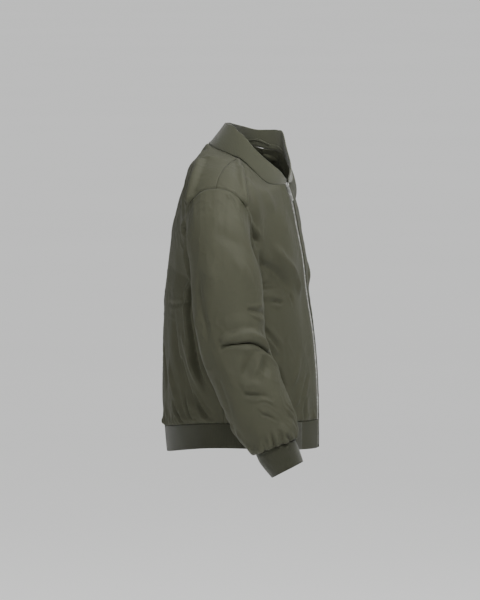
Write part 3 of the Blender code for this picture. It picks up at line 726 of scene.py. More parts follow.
def knit(name, colour, painted_groove_shade, loop=0.0015):
    """Rib knit: columns of small chevrons that run along the ribs, with painted shade in the grooves between
    the ribs.
    """
    look = Look(name, sheen_weight=0.25, sheen_roughness=0.5, specular_ior_level=0.18)
    here = look.place()
    u, v = look.across_and_along()
    rib = wave(u, 2 * RIB_PITCH)
    rib = rib.maths("ABSOLUTE", rib)
    slant = u.maths("PINGPONG", u * (2 / RIB_PITCH), 0.5)
    loops = wave(v + slant * (1.2 * loop), loop)
    fuzz = look.cloudy(here, 420, 3.0, 0.6)
    patches = look.cloudy(here, 16, 3.0)
    shade = 1.0 + (patches - 0.5) * 0.16 + (fuzz - 0.5) * 0.22 + loops * 0.06
    # the grooves between the ribs are painted darker, as shade
    base = look.mix(look.between(rib, 0.05, 0.55), (*painted_groove_shade, 1), (*colour, 1))
    rough = look.bump(loops * 0.5 + fuzz * 0.7, 0.00016, 0.7)
    return look.feed(base_color=look.tinted(base, shade), roughness=0.82 + (fuzz - 0.5) * 0.2, normal=rough)


def woven_tape(name, colour, pitch):
    """Narrow herringbone tape."""
    look = Look(name, sheen_weight=0.1, sheen_roughness=0.5, specular_ior_level=0.25)
    here = look.place()
    u, v = look.across_and_along()
    zigzag = u.maths("PINGPONG", u, 0.0022)
    ridges = wave(v + zigzag, pitch)
    fuzz = look.cloudy(here, 500, 2.0)
    patches = look.cloudy(here, 30, 3.0)
    shade = 1.0 + ridges * 0.10 + (fuzz - 0.5) * 0.2 + (patches - 0.5) * 0.2
    base = look.tinted(colour, shade)
    rough = 0.75 + (fuzz - 0.5) * 0.15
    return look.feed(base_color=base, roughness=rough, normal=look.bump(ridges + fuzz * 0.5, 0.00012, 0.7))


def thread(name, colour):
    look = Look(name, sheen_weight=0.15, specular_ior_level=0.3)
    here = look.place()
    fuzz = look.cloudy(here, 1500, 2.0)
    patches = look.cloudy(here, 40, 2.0)
    base = look.tinted(colour, 0.85 + fuzz * 0.2 + patches * 0.12)
    return look.feed(base_color=base, roughness=0.6 + fuzz * 0.15, normal=look.bump(fuzz, 0.0001, 0.5))


def zip_metal(name, bright, dull, roughness):
    """Plated zip metal with faint scratches and darker hollows."""
    look = Look(name)
    here = look.place()
    clouds = look.cloudy(here, 180, 4.0, 0.6)
    scratches = look.cloudy(here, 300, 3.0, 0.7, (1.0, 1.0, 0.12))
    worn = look.between(clouds, 0.42, 0.68)
    base = look.mix(worn, (*dull, 1), (*bright, 1))
    rough = roughness + (scratches - 0.5) * 0.25 + (clouds - 0.5) * 0.15
    look.shader.inputs["Metallic"].default_value = 1.0
    return look.feed(base_color=base, roughness=rough, normal=look.bump(scratches, 0.00008, 0.35))


SHEEN = 0.03
# each pair: the cloth's colour, then a lighter tone for wear at the seams and for the painted highlight on
# raised folds
OLIVE, OLIVE_WORN_AND_HIGHLIT = (0.042, 0.0430, 0.0265), (0.056, 0.0575, 0.039)
# the hem tabs: the same nylon painted darker, as shade low on the jacket
TAB_OLIVE_PAINTED_SHADE, TAB_SHADED_WORN_AND_HIGHLIT = (0.029, 0.0300, 0.0182), (0.039, 0.0405, 0.027)
# the lining: the same nylon painted lighter, as light that falls inside the neck opening
LINING_OLIVE_PAINTED_LIGHT, LINING_PAINTED_LIGHT_WORN_AND_HIGHLIT = (0.074, 0.077, 0.050), (0.092, 0.095, 0.066)

# ------------------------------------------------------------------ panels and sleeves

FINE, SLEEVE_FINE = ((0.0033, 0.0028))
# what fills the hollow along the upper armhole: height, reach from the seam, the turns it fades between
FILL_HEIGHT, FILL_REACH, FILL_FADES = 0.0088, 0.030, (58, 108)
# sewn edges: the widest gap that is closed, the share of it that an edge moves, how far in the move reaches
CLOSED_GAP, CLOSED_SHARE, CLOSED_REACH = 0.004, 0.495, 0.006
# the shoulder seam: how deep it lies and how far that reaches, and how far from it front and back fold as one
SEAM_SINK, SEAM_SINK_REACH, FOLD_AS_ONE = 0.0024, 0.025, 0.022
# within this length of a seam, folds stop leaning over
DROP_FADE = 0.012
EDGES = {"top": np.s_[0], "bottom": np.s_[-1], "first": np.s_[:, 0], "last": np.s_[:, -1]}


def even_keys(points_at, low, high, spacing):
    """Keys from low to high that step evenly along the line points_at(keys)."""
    keys = np.linspace(low, high, 241)
    return np.interp(evenly(lengths_along(points_at(keys)), spacing), np.arange(len(keys)), keys)


def panel_cloth(name, is_front, side, seed):
    rows = even_keys(lambda k: panel(is_front, side, k, [0.6])[:, 0], 0, PANEL_ROWS, FINE)
    shares = even_keys(lambda k: panel(is_front, side, np.array([8.0]), k)[0], 0, 1, FINE)
    return Cloth(name, rows, shares, panel(is_front, side, rows, shares), from_axis, seed)


def sleeve_cloth(name, side, seed):
    numbers = even_keys(lambda k: section(k, 40.0, side), 0, CUFF_SEAM, SLEEVE_FINE)
    girth = 2 * math.pi * 0.069
    turns = np.linspace(-180, 180, int(girth / SLEEVE_FINE) + 1)
    points = section(numbers[:, None], turns[None, :], side)
    return Cloth(name, numbers, turns, points, from_middles, seed, around=True)


def fill_shoulder(cloth, edge, side):
    """Fills the hollow along the upper armhole seam, so that shoulder and sleeve hang as one."""
    off = cloth.lengths(edge)
    turn = np.abs(cloth.columns)[None, :] if cloth.around else 18 * np.minimum(cloth.rows, ARM_ROWS)[:, None]
    low, high = FILL_FADES
    tall = FILL_HEIGHT * (1 - soft_step((turn - low) / (high - low))) * np.exp(-off / FILL_REACH)
    away = (cloth.points - np.array((0.12 * side, 0.006, -0.165))) * (1, 1, 0.4)
    away /= np.linalg.norm(away, axis=2)[..., None]
    cloth.points = cloth.points + away * tall[..., None]
    cloth.measure()


def close_seam(cloth, edge, others):
    """Moves an edge most of half-way to the nearest of the edges it is sewn to."""
    line = cloth.base[EDGES[edge]]
    sewn = np.concatenate([other.base[EDGES[name]] for other, name in others])
    gaps = np.linalg.norm(line[:, None] - sewn[None], axis=2)
    nearest = gaps.argmin(axis=1)
    move = (sewn[nearest] - line) * np.where(gaps.min(axis=1) < CLOSED_GAP, CLOSED_SHARE, 0.0)[:, None]
    along = line - np.roll(line, 1, axis=0)
    along[0] = line[1] - line[0]
    along /= np.linalg.norm(along, axis=1)[:, None] + 1e-12
    move -= along * (move * along).sum(axis=1)[:, None]
    move = move[None] if edge in ("top", "bottom") else move[:, None]
    cloth.points = cloth.points + move * np.exp(-cloth.lengths(edge) / CLOSED_REACH)[..., None]


def join_shoulder(front, back):
    """Front and back rise and fall together along the shoulder seam."""
    met = []
    for cloth, other in ((front, back), (back, front)):
        parts = (other.lift[0], *other.normals[0].T)
        lift, *normal = [np.interp(cloth.columns, other.columns, part) for part in parts]
        normal = cloth.normals[0] + np.stack(normal, -1)
        met.append(((cloth.lift[0] + lift) / 2, normal / np.linalg.norm(normal, axis=1)[:, None]))
    for cloth, (lift, normal) in zip((front, back), met):
        off = cloth.lengths("top")
        near = np.exp(-((off / FOLD_AS_ONE) ** 2))
        cloth.lift += (lift - cloth.lift[0]) * near
        cloth.drop *= soft_step(off / DROP_FADE)
        cloth.normals += (normal - cloth.normals[0]) * near[..., None]
        cloth.normals /= np.linalg.norm(cloth.normals, axis=2)[..., None]


def close_seams(front, back, sleeve):
    for side in (-1, 1):
        join_shoulder(front[side], back[side])
        close_seam(front[side], "top", [(back[side], "top")])
        close_seam(back[side], "top", [(front[side], "top")])
        close_seam(front[side], "last", [(sleeve[side], "top"), (back[side], "last")])
        close_seam(back[side], "last", [(sleeve[side], "top"), (front[side], "last")])
        close_seam(sleeve[side], "top", [(front[side], "last"), (back[side], "last")])


def crease_all(cloth, table, scale, sway):
    """Lays a table's creases on the cloth, each spot moved a little by chance."""
    for shape, height, width, lead, tail, *spots in table:
        spots = np.array(spots) + cloth.rng.normal(0, 1, (len(spots), 2)) * sway
        cloth.crease(spots, height * 0.001 * scale, np.array(width) * 0.001, shape, lead, tail)


# Creases: shape, height in mm, widths in mm at its two ends, how much of it fades in and out, then its spots.
# On a sleeve a spot is (section, turn); on a panel (row, share from the middle to the side).
SLEEVE_CREASES = (
    # the fold over the elbow and what hangs above it
    ("over", 9.0, (7, 8), 0.18, 0.08,
     (7.1, -13), (6.92, 4), (6.95, 18), (7.0, 32), (7.2, 50), (7.65, 66), (8.2, 88)),
    ("pinch", -2.5, (3.5, 3.5), 0.3, 0.4, (7.35, -18), (7.1, -4), (7.05, 4)),
    ("soft", 3.5, (13, 14), 0.35, 0.4, (6.4, -20), (5.9, 10), (5.9, 40), (6.3, 70)),
    # lobes below the elbow
    ("soft", -3.5, (8, 8), 0.3, 0.4, (7.8, 38), (8.5, 20), (9.1, 4)),
    ("pinch", 3.5, (5, 7), 0.15, 0.3, (8.0, 60), (8.5, 44), (8.95, 30), (9.5, 12)),
    ("soft", -3.0, (7, 8), 0.3, 0.4, (8.5, 62), (9.0, 48), (9.3, 40)),
    ("soft", 4.5, (9, 10), 0.35, 0.4, (9.35, -6), (9.5, 12), (9.65, 36)),
    ("pinch", -5.0, (6, 6), 0.35, 0.45, (9.85, -8), (10.05, 6), (10.3, 22), (10.5, 40)),
    ("soft", 3.0, (9, 10), 0.4, 0.5, (7.9, -16), (8.8, -12), (9.6, -20)),
    # forearm
    ("pinch", -3.0, (4, 4), 0.3, 0.5, (10.55, 10), (10.75, 26), (11.45, 42)),
    ("soft", 2.5, (6, 7), 0.3, 0.5, (10.9, 6), (11.2, 22), (11.9, 40)),
    ("pinch", -3.0, (4, 4), 0.3, 0.5, (11.25, 8), (11.6, 22), (12.2, 36)),
    ("soft", -2.5, (9, 9), 0.3, 0.4, (8.2, -36), (9.4, -42), (11.3, -50)),
    # the edge that turns under along the back
    ("soft", -6.0, (9, 10), 0.15, 0.3,
     (0.6, -66), (1.3, -79), (3.3, -91), (5.6, -92), (9.0, -88), (12.0, -86)),
    # short crease at the front edge
    ("pinch", -4.5, (3.2, 4.5), 0.35, 0.2, (5.12, 38), (5.22, 50), (5.4, 70), (5.5, 92)),
    # upper arm
    ("soft", -4.0, (17, 19), 0.4, 0.4, (1.4, -10), (1.75, 20), (1.75, 66)),
    ("soft", 3.0, (16, 16), 0.4, 0.4, (2.8, 20), (3.1, 60)),
    ("soft", 2.5, (14, 14), 0.4, 0.4, (2.0, -30), (3.2, -16), (4.6, -10)),
    ("soft", -3.2, (8, 9), 0.3, 0.4, (2.6, -38), (3.9, -44), (4.95, -38), (6.65, -32), (7.6, -26)),
    ("soft", 3.0, (9, 10), 0.3, 0.4, (4.6, -62), (6.6, -56), (8.6, -62)),
    # puckers below the armhole seam
    ("pinch", -2.4, (3, 3.5), 0.1, 0.6, (0.12, 22), (0.30, 34), (0.62, 48)),
    ("soft", 2.0, (4, 5), 0.1, 0.6, (0.1, 14), (0.3, 26), (0.75, 40)),
    # pleats above the cuff
    ("pinch", -5.5, (3.5, 4.5), 0.5, 0.05, (12.4, 11), (13.3, 8), (14.6, 5)),
    ("pinch", -5.5, (3.5, 4.5), 0.5, 0.05, (12.6, 30), (13.5, 28), (14.6, 25)),
    ("pinch", -5.0, (3.5, 4.5), 0.5, 0.05, (12.75, 52), (13.5, 51), (14.5, 48)),
    ("pinch", -4.0, (3.5, 4.5), 0.5, 0.05, (13.0, -16), (13.8, -17), (14.6, -18)),
)
# on the side that the arm hides, and round the back
SLEEVE_INNER_CREASES = (
    ("soft", -3.0, (9, 10), 0.4, 0.4, (6.9, 100), (7.4, 130), (7.5, 165)),
    ("soft", 2.5, (10, 10), 0.4, 0.4, (6.2, 110), (6.5, 150)),
    ("pinch", -3.0, (5, 6), 0.4, 0.4, (8.4, 96), (8.8, 125), (8.9, 150)),
    ("pinch", -2.5, (5, 5), 0.4, 0.4, (1.6, 96), (1.9, 130), (1.8, 165)),
    ("soft", -3.0, (9, 9), 0.4, 0.4, (3.6, -84), (5.0, -92), (6.6, -86)),
    ("pinch", -2.5, (5, 5), 0.4, 0.5, (9.6, -84), (9.9, -108), (9.8, -130)),
    ("soft", 2.5, (9, 9), 0.4, 0.4, (10.4, -86), (10.7, -112)),
    ("pinch", -2.5, (4, 5), 0.3, 0.5, (11.2, -80), (11.6, -100), (11.9, -118)),
)
FRONT_CREASES = (
    # from the shoulder down beside the sleeve
    ("under", 9.0, (5, 7), 0.05, 0.05,
     (0.12, 0.10), (0.7, 0.32), (1.3, 0.50), (1.8, 0.66), (2.25, 0.79), (2.75, 0.90), (3.3, 0.98)),
    ("soft", -11.0, (8, 11), 0.1, 0.3,
     (0.5, 0.20), (1.3, 0.43), (1.9, 0.60), (2.5, 0.74), (3.2, 0.86), (4.2, 0.93)),
    ("pinch", -5.0, (5, 6), 0.1, 0.3, (0.9, 0.36), (1.5, 0.54), (2.2, 0.74), (2.9, 0.88)),
    ("soft", -8.0, (10, 12), 0.3, 0.3, (2.6, 0.76), (3.4, 0.84), (4.3, 0.86), (5.4, 0.80)),
    ("soft", -12.0, (7, 8), 0.3, 0.4, (4.2, 0.97), (5.0, 0.91), (5.6, 0.84), (6.3, 0.75)),
    ("pinch", -8.0, (5, 5), 0.3, 0.4, (4.4, 0.98), (4.95, 0.93), (5.4, 0.87), (5.9, 0.80)),
    ("soft", -6.0, (6, 7), 0.3, 0.3, (6.0, 0.83), (7.2, 0.74), (8.4, 0.66), (9.8, 0.60)),
    ("soft", 3.5, (15, 17), 0.4, 0.4, (1.6, 0.20), (3.2, 0.36), (4.8, 0.44), (6.0, 0.40)),
    ("pinch", 2.5, (4, 5), 0.1, 0.6, (0.7, 0.12), (1.5, 0.26), (2.4, 0.36)),
    # the ridge that runs down to the zip, and the hollow below it
    ("soft", 7.5, (10, 8), 0.3, 0.2,
     (6.3, 0.61), (7.6, 0.47), (8.65, 0.38), (9.6, 0.27), (10.4, 0.19), (11.3, 0.14)),
    ("soft", -9.0, (11, 10), 0.3, 0.35, (6.8, 0.84), (8.15, 0.62), (9.2, 0.48), (10.3, 0.36), (11.0, 0.29)),
    ("pinch", -5.5, (3.4, 3.4), 0.1, 0.6, (10.35, 0.72), (10.33, 0.64), (10.35, 0.52), (10.42, 0.40)),
    ("soft", 3.5, (8, 8), 0.3, 0.5, (10.75, 0.68), (10.8, 0.56), (10.9, 0.48)),
    ("pinch", -4.5, (5, 5), 0.3, 0.4, (11.1, 0.56), (11.25, 0.47), (11.4, 0.41)),
    ("pinch", -4.0, (3.5, 3.5), 0.3, 0.4, (10.85, 0.335), (11.15, 0.32), (11.6, 0.30)),
    # beside the sleeve, below the elbow
    ("soft", -6.0, (10, 11), 0.3, 0.3, (11.5, 0.68), (12.6, 0.69), (13.6, 0.66)),
    ("over", 4.5, (5, 6), 0.2, 0.4, (12.8, 0.66), (13.1, 0.61), (13.7, 0.54), (14.3, 0.49)),
    ("soft", -9.0, (6, 7), 0.35, 0.3, (14.8, 0.57), (15.2, 0.53), (15.8, 0.485), (16.2, 0.45)),
    ("soft", 4.5, (7, 6), 0.35, 0.5, (16.2, 0.38), (15.2, 0.32), (14.1, 0.27)),
    ("pinch", -4.0, (6, 6), 0.3, 0.5, (17.0, 0.29), (16.1, 0.23), (15.3, 0.18)),
    ("soft", 4.0, (7, 7), 0.3, 0.5, (17.3, 0.35), (16.6, 0.31), (15.8, 0.27)),
    ("pinch", -3.0, (4, 4), 0.4, 0.05, (16.4, 0.215), (17.2, 0.235), (17.95, 0.24)),
)
BACK_CREASES = (
    # below the shoulder, where the cloth turns under the sleeve
    ("over", 9.0, (6, 8), 0.1, 0.1, (2.2, 0.40), (2.05, 0.63), (2.15, 0.74), (2.5, 0.87), (3.2, 0.97)),
    ("soft", -8.0, (13, 14), 0.3, 0.3, (3.2, 0.58), (3.8, 0.78), (4.6, 0.95)),
    ("soft", -6.5, (24, 24), 0.2, 0.4, (3.2, 0.06), (3.9, 0.22), (4.1, 0.34), (4.3, 0.46)),
    ("pinch", -13.0, (6, 7), 0.1, 0.2,
     (4.2, 0.97), (5.4, 0.97), (7.2, 0.86), (9.3, 0.76), (11.3, 0.69),
     (13.5, 0.74), (15.1, 0.79), (16.7, 0.88)),
    ("soft", -5.0, (10, 12), 0.3, 0.5, (5.2, 0.96), (6.4, 0.80), (7.6, 0.62)),
    ("soft", 3.0, (14, 14), 0.4, 0.5, (0.6, 0.34), (1.3, 0.36), (1.7, 0.40)),
    # across the waist
    ("pinch", -2.5, (3.5, 3.5), 0.3, 0.3, (12.0, 0.28), (11.75, 0.50), (11.5, 0.63), (11.3, 0.74)),
    ("soft", -4.0, (5, 6), 0.3, 0.3, (11.35, 0.58), (11.35, 0.66), (11.3, 0.74)),
    # long folds down to the hem
    ("soft", -6.5, (8, 10), 0.3, 0.4, (12.05, 0.51), (13.9, 0.53), (15.65, 0.61), (16.8, 0.66)),
    ("soft", 5.5, (9, 10), 0.3, 0.4, (13.0, 0.62), (13.8, 0.67), (15.35, 0.75), (16.7, 0.84)),
    ("soft", -7.5, (7, 8), 0.3, 0.3, (14.3, 0.58), (14.9, 0.62), (16.45, 0.70), (17.25, 0.79)),
    ("soft", 5.0, (8, 8), 0.3, 0.4, (14.4, 0.40), (15.8, 0.46), (16.45, 0.51), (17.3, 0.57)),
    ("soft", -4.0, (9, 9), 0.3, 0.4, (13.6, 0.22), (15.0, 0.27), (16.6, 0.32)),
    ("pinch", -8.5, (4, 5), 0.4, 0.1, (16.6, 0.44), (17.3, 0.51), (17.95, 0.60)),
    ("pinch", -8.5, (4, 5), 0.4, 0.1, (16.0, 0.60), (17.25, 0.66), (17.8, 0.71)),
    ("pinch", -8.5, (4, 5), 0.4, 0.1, (16.0, 0.71), (16.95, 0.78), (17.7, 0.85)),
    ("soft", 5.0, (5, 5), 0.4, 0.2, (16.4, 0.50), (17.3, 0.57), (17.85, 0.63)),
    ("soft", 5.0, (5, 5), 0.4, 0.2, (16.5, 0.67), (17.4, 0.74), (17.85, 0.78)),
)
PLACKET = 0.024
# how strong a table's creases are and how far chance moves each spot, on the right and on the left
PANEL_CREASING = {-1: (1.2, (0.02, 0.004)), 1: (0.65, (0.22, 0.02))}
SLEEVE_CREASING = {-1: (1.2, (0.01, 0.4)), 1: (0.8, (0.15, 4.0))}


def hold(cloth, edge, width, rows=(0, PANEL_ROWS)):
    """Flattens creases towards an edge, between two rows."""
    still = soft_step(cloth.lengths(edge) / width)
    inside = soft_step((cloth.rows - rows[0]) / 0.4 + 1) * soft_step((rows[1] - cloth.rows) / 0.4 + 1)
    cloth.lift *= 1 - (1 - still) * inside[:, None]
    cloth.drop *= 1 - (1 - still) * inside[:, None]


def shape_panel(cloth, table, side, lean):
    fill_shoulder(cloth, "last", side)
    sink = SEAM_SINK * np.exp(-cloth.lengths("top") / SEAM_SINK_REACH)
    cloth.points = cloth.points - cloth.normals * sink[..., None]
    cloth.measure()
    crease_all(cloth, table, *PANEL_CREASING[side])
    cloth.gathers("bottom", 0.017, 0.0050, 0.055, lean=lean)
    cloth.gathers("bottom", 0.011, 0.0024, 0.024, lean=lean)
    cloth.lift -= 0.0026 * np.exp(-((cloth.lengths("bottom") / 0.035) ** 2))
    cloth.gathers("last", 0.016, 0.0010, 0.026, start=1, stop=9)
    cloth.ripple(0.0046, (0.05, 0.05, 0.30))
    cloth.ripple(0.0030, (0.10, 0.10, 0.12), 3.0)
    cloth.ripple(0.0012, (0.035, 0.035, 0.05), 5.0)
    cloth.crumple(0.0011, (0.022, 0.022, 0.030), 7.0)
    cloth.seam_roll("bottom")
    cloth.seam_roll("last", 0.0005, 0.0016, 0.006)


def shape_front(cloth, side):
    shape_panel(cloth, FRONT_CREASES, side, 0.25)
    hold(cloth, "first", PLACKET)
    on_front = soft_step((cloth.rows - NECK_ROWS) / 0.3)[:, None]
    off = cloth.lengths("first")
    if side > 0:
        chest = soft_step((cloth.rows - 1) / 3) * soft_step((10 - cloth.rows) / 4)
        bulge = soft_step(off / 0.02) * (1 - soft_step((off - 0.05) / 0.06)) * chest[:, None]
        cloth.lift -= bulge * (0.002 + np.maximum(cloth.lift, 0))
        cloth.lift += 0.0008 * soft_step((PLACKET + 0.002 - off) / 0.003) * on_front
    else:
        cloth.lift -= 0.0014 * soft_step((0.016 - off) / 0.016) * on_front
    neck = np.exp(-((off / 0.0028) ** 2)) * (1 - on_front)
    cloth.lift -= 0.0009 * neck


def shape_back(cloth, side):
    shape_panel(cloth, BACK_CREASES, side, -0.45)
    hold(cloth, "first", 0.016, (0, NECK_ROWS))
    above = 1 - soft_step((cloth.rows - NECK_ROWS) / 0.2)[:, None]
    cloth.lift -= 0.0009 * np.exp(-((cloth.lengths("first") / 0.0028) ** 2)) * above


def shape_sleeve(cloth, side):
    fill_shoulder(cloth, "top", side)
    crease_all(cloth, SLEEVE_CREASES, *SLEEVE_CREASING[side])
    crease_all(cloth, SLEEVE_INNER_CREASES, 1.0, (0.15, 3.0))
    cloth.gathers("top", 0.0075, 0.0012, 0.022, start=-16, stop=26)
    cloth.gathers("top", 0.014, 0.0010, 0.026, start=-80, stop=80)
    cloth.gathers("bottom", 0.013, 0.0040, 0.042)
    cloth.gathers("bottom", 0.009, 0.0018, 0.018)
    cloth.ripple(0.0030, (0.06, 0.06, 0.16))
    cloth.ripple(0.0024, (0.05, 0.05, 0.06), 3.0)
    cloth.ripple(0.0010, (0.03, 0.03, 0.04), 5.0)
    cloth.crumple(0.0011, (0.022, 0.022, 0.026), 7.0)
    cloth.seam_roll("bottom")
    cloth.seam_roll("top", 0.0005, 0.0016, 0.006)


def cloth_mesh(cloth, mirror=False):
    across = cloth.across - (0 if cloth.around else cloth.across[:, :1])
    uv = np.stack([-across if mirror else across, -cloth.along], -1)
    values = {"seam": cloth.seam, "lift": cloth.lift}
    mesh = grid_mesh(cloth.name, cloth.surface(), uv, values, cloth.around)
    face_outwards(mesh, cloth.outward_at)
    return mesh


def cloth_piece(cloth, node, look):
    return thicken(piece(cloth.name + "_cloth", cloth_mesh(cloth), "jacket", [node], look), CLOTH)


def back_piece(right, left, look):
    """The back is one cloth: its halves agree down the middle and are welded there."""
    wanted = np.interp(right.rows, left.rows, left.lift[:, 0])
    middle = (right.lift[:, 0] + wanted) / 2
    for cloth in (right, left):
        missing = np.interp(cloth.rows, right.rows, middle) - cloth.lift[:, 0]
        cloth.lift += missing[:, None] * np.exp(-((cloth.lengths("first") / 0.025) ** 2))
        cloth.normals[:, 0] *= np.where((cloth.rows > NECK_ROWS)[:, None], (0, 1, 1), (1, 1, 1))
        cloth.normals[:, 0] /= np.linalg.norm(cloth.normals[:, 0], axis=1)[:, None]
    mesh = joined("back", [cloth_mesh(right, True), cloth_mesh(left)], 3e-4)
    return thicken(piece("back_cloth", mesh, "jacket", ["back"], look), CLOTH)

# ------------------------------------------------------------------ knit ribs

RIB_PITCH, RIB_DEPTH, KNIT_STEP = 0.0034, 0.00045, 0.00085


def doubled(name, middle_at, depths, thickness, ribbed, seed, outward, ring=False):
    """A doubled band in one grid: its outer side, rolled free edge and inner side about middle_at(depths)."""
    middle = middle_at(depths) * (1, -1, 1)
    normals = grid_normals(middle, outward)
    if ring:
        normals[:, 0] = normals[:, -1] = normals[:, [0, -1]].mean(axis=1)
    down = middle[-1] - middle[-2]
    down /= np.linalg.norm(down, axis=1)[:, None]
    width = run_lengths(middle, 1)[len(middle) // 2]
    half = thickness / 2
    wave_out = np.zeros_like(width)
    if ribbed:
        count = round(width[-1] / RIB_PITCH)
        width = width * (count * RIB_PITCH / width[-1])
        wave_out = RIB_DEPTH * (np.abs(np.sin(np.pi * width / RIB_PITCH)) ** 0.8 - 0.6)
    length = run_lengths(middle, 0)
    slack = np.array([noise.noise(Vector(p * 22) + Vector((seed, 0, 0))) for p in middle.reshape(-1, 3)])
    slack = slack.reshape(middle.shape[:2]) * 0.0009 * soft_step(length / 0.012)
    outer = middle + normals * (half + wave_out + slack)[..., None]
    inner = middle - normals * (half + 0.5 * wave_out - slack)[..., None]
    rim = []
    for angle in np.radians((25, 50, 75, 105, 130, 155)):
        ridge = half * math.cos(angle) + wave_out * max(0.0, math.cos(angle))
        rim.append(middle[-1] + normals[-1] * (ridge + slack[-1])[:, None] + down * half * math.sin(angle))
    rows = np.concatenate([outer, np.array(rim), inner[::-1], outer[:1]])
    run = run_lengths(rows, 0).mean(axis=1)
    uv = np.stack(np.broadcast_arrays(width[None, :], -run[:, None]), -1)
    return closed(grid_mesh(name, rows, uv, closes=True))


def away_from_neck(points):
    return (points + (0, NECK_FORWARD, 0)) * (1, 1, 0)


def make_collar(look):
    def middle_at(rises):
        return neck_point(angles[None, :], rises[:, None])

    turns = even_keys(lambda k: neck_point(k, 0.5), FRONT_ANGLE, 360 - FRONT_ANGLE, KNIT_STEP)
    angles = np.where(turns > 180, turns - 360, turns)
    depths = np.concatenate([np.linspace(0, 0.92, 18), np.linspace(0.94, 0.985, 3)])
    mesh = doubled("collar", middle_at, depths, RIB, True, 3.1, away_from_neck)
    return piece("collar_knit", mesh, "jacket", ["collar"], look)


def make_cuff(name, side, look):
    turns = np.linspace(-180, 180, int(2 * math.pi * 0.038 / KNIT_STEP) + 1)
    numbers = np.concatenate([np.linspace(15, 17.7, 16), np.linspace(17.8, 17.93, 2)])

    def middle_at(numbers):
        return section(numbers[:, None], turns[None, :], side)

    mesh = doubled(name, middle_at, numbers, RIB, True, 5.3 + side, from_middles, ring=True)
    return piece(name + "_knit", mesh, "jacket", [name], look)


def hem_grid(places, depths):
    """The hem band: places run from -2, the right front edge, by -1, the side, and 0, the back, to 2."""
    columns = []
    quarters = ((-2, -1, True, -1), (-1, 0, False, -1), (0, 1, False, 1), (1, 2.001, True, 1))
    for low, high, is_front, side in quarters:
        here = places[(places >= low) & (places < high)]
        shares = 2 - np.abs(here) if is_front else np.abs(here)
        top = panel(is_front, side, np.array([float(PANEL_ROWS)]), shares)[0]
        bottom = rib_bottom(is_front, side, shares)
        columns.append(top[None] * (1 - depths[:, None, None]) + bottom[None] * depths[:, None, None])
    return np.concatenate(columns, axis=1)


def make_hem(look, shaded_tab_look):
    depths = np.concatenate([np.linspace(0, 0.93, 20), np.linspace(0.95, 0.985, 2)])
    end = 2 - TAB_COLUMNS / PANEL_COLUMNS
    one = np.array([0.5])
    places = even_keys(lambda k: hem_grid(k, one)[0], -end, end, KNIT_STEP)
    mesh = doubled("hem", lambda d: hem_grid(places, d), depths, RIB, True, 9.0, from_axis)
    made = {"hem_rib": piece("hem_rib_knit", mesh, "jacket", ["hem_rib"], look)}
    for name, side in SIDES:
        tab = np.sort(side * np.linspace(end, 2, 30))
        mesh = doubled("hem_tab", lambda d, tab=tab: hem_grid(tab, d), depths, 0.0024, False, 9.5, from_axis)
        node = "hem_tab_" + name
        made[node] = piece(node + "_cloth", mesh, "jacket", [node], shaded_tab_look)
    return made

# ------------------------------------------------------------------ lining, tapes and loop


def grid_normals(points, outward):
    normals = np.cross(np.gradient(points, axis=1), np.gradient(points, axis=0))
    normals /= np.linalg.norm(normals, axis=2)[..., None] + 1e-12
    return -normals if (normals * outward(points)).sum() < 0 else normals


def joined(name, meshes, dist=1e-4):
    bm = bmesh.new()
    for mesh in meshes:
        bm.from_mesh(mesh)
    bmesh.ops.remove_doubles(bm, verts=bm.verts, dist=dist)
    return mesh_of(bm, name)


# how far in the lining lies at the neck and how much further below it, and how far its top is drawn up
LINING_IN, LINING_FURTHER, LINING_UP = 0.0025, 0.0030, 0.0024
# the pleats' height and how far down they reach; how far in the left side sags
PLEAT_HEIGHT, PLEAT_REACH, LINING_SAG = 0.0042, 0.10, 0.012


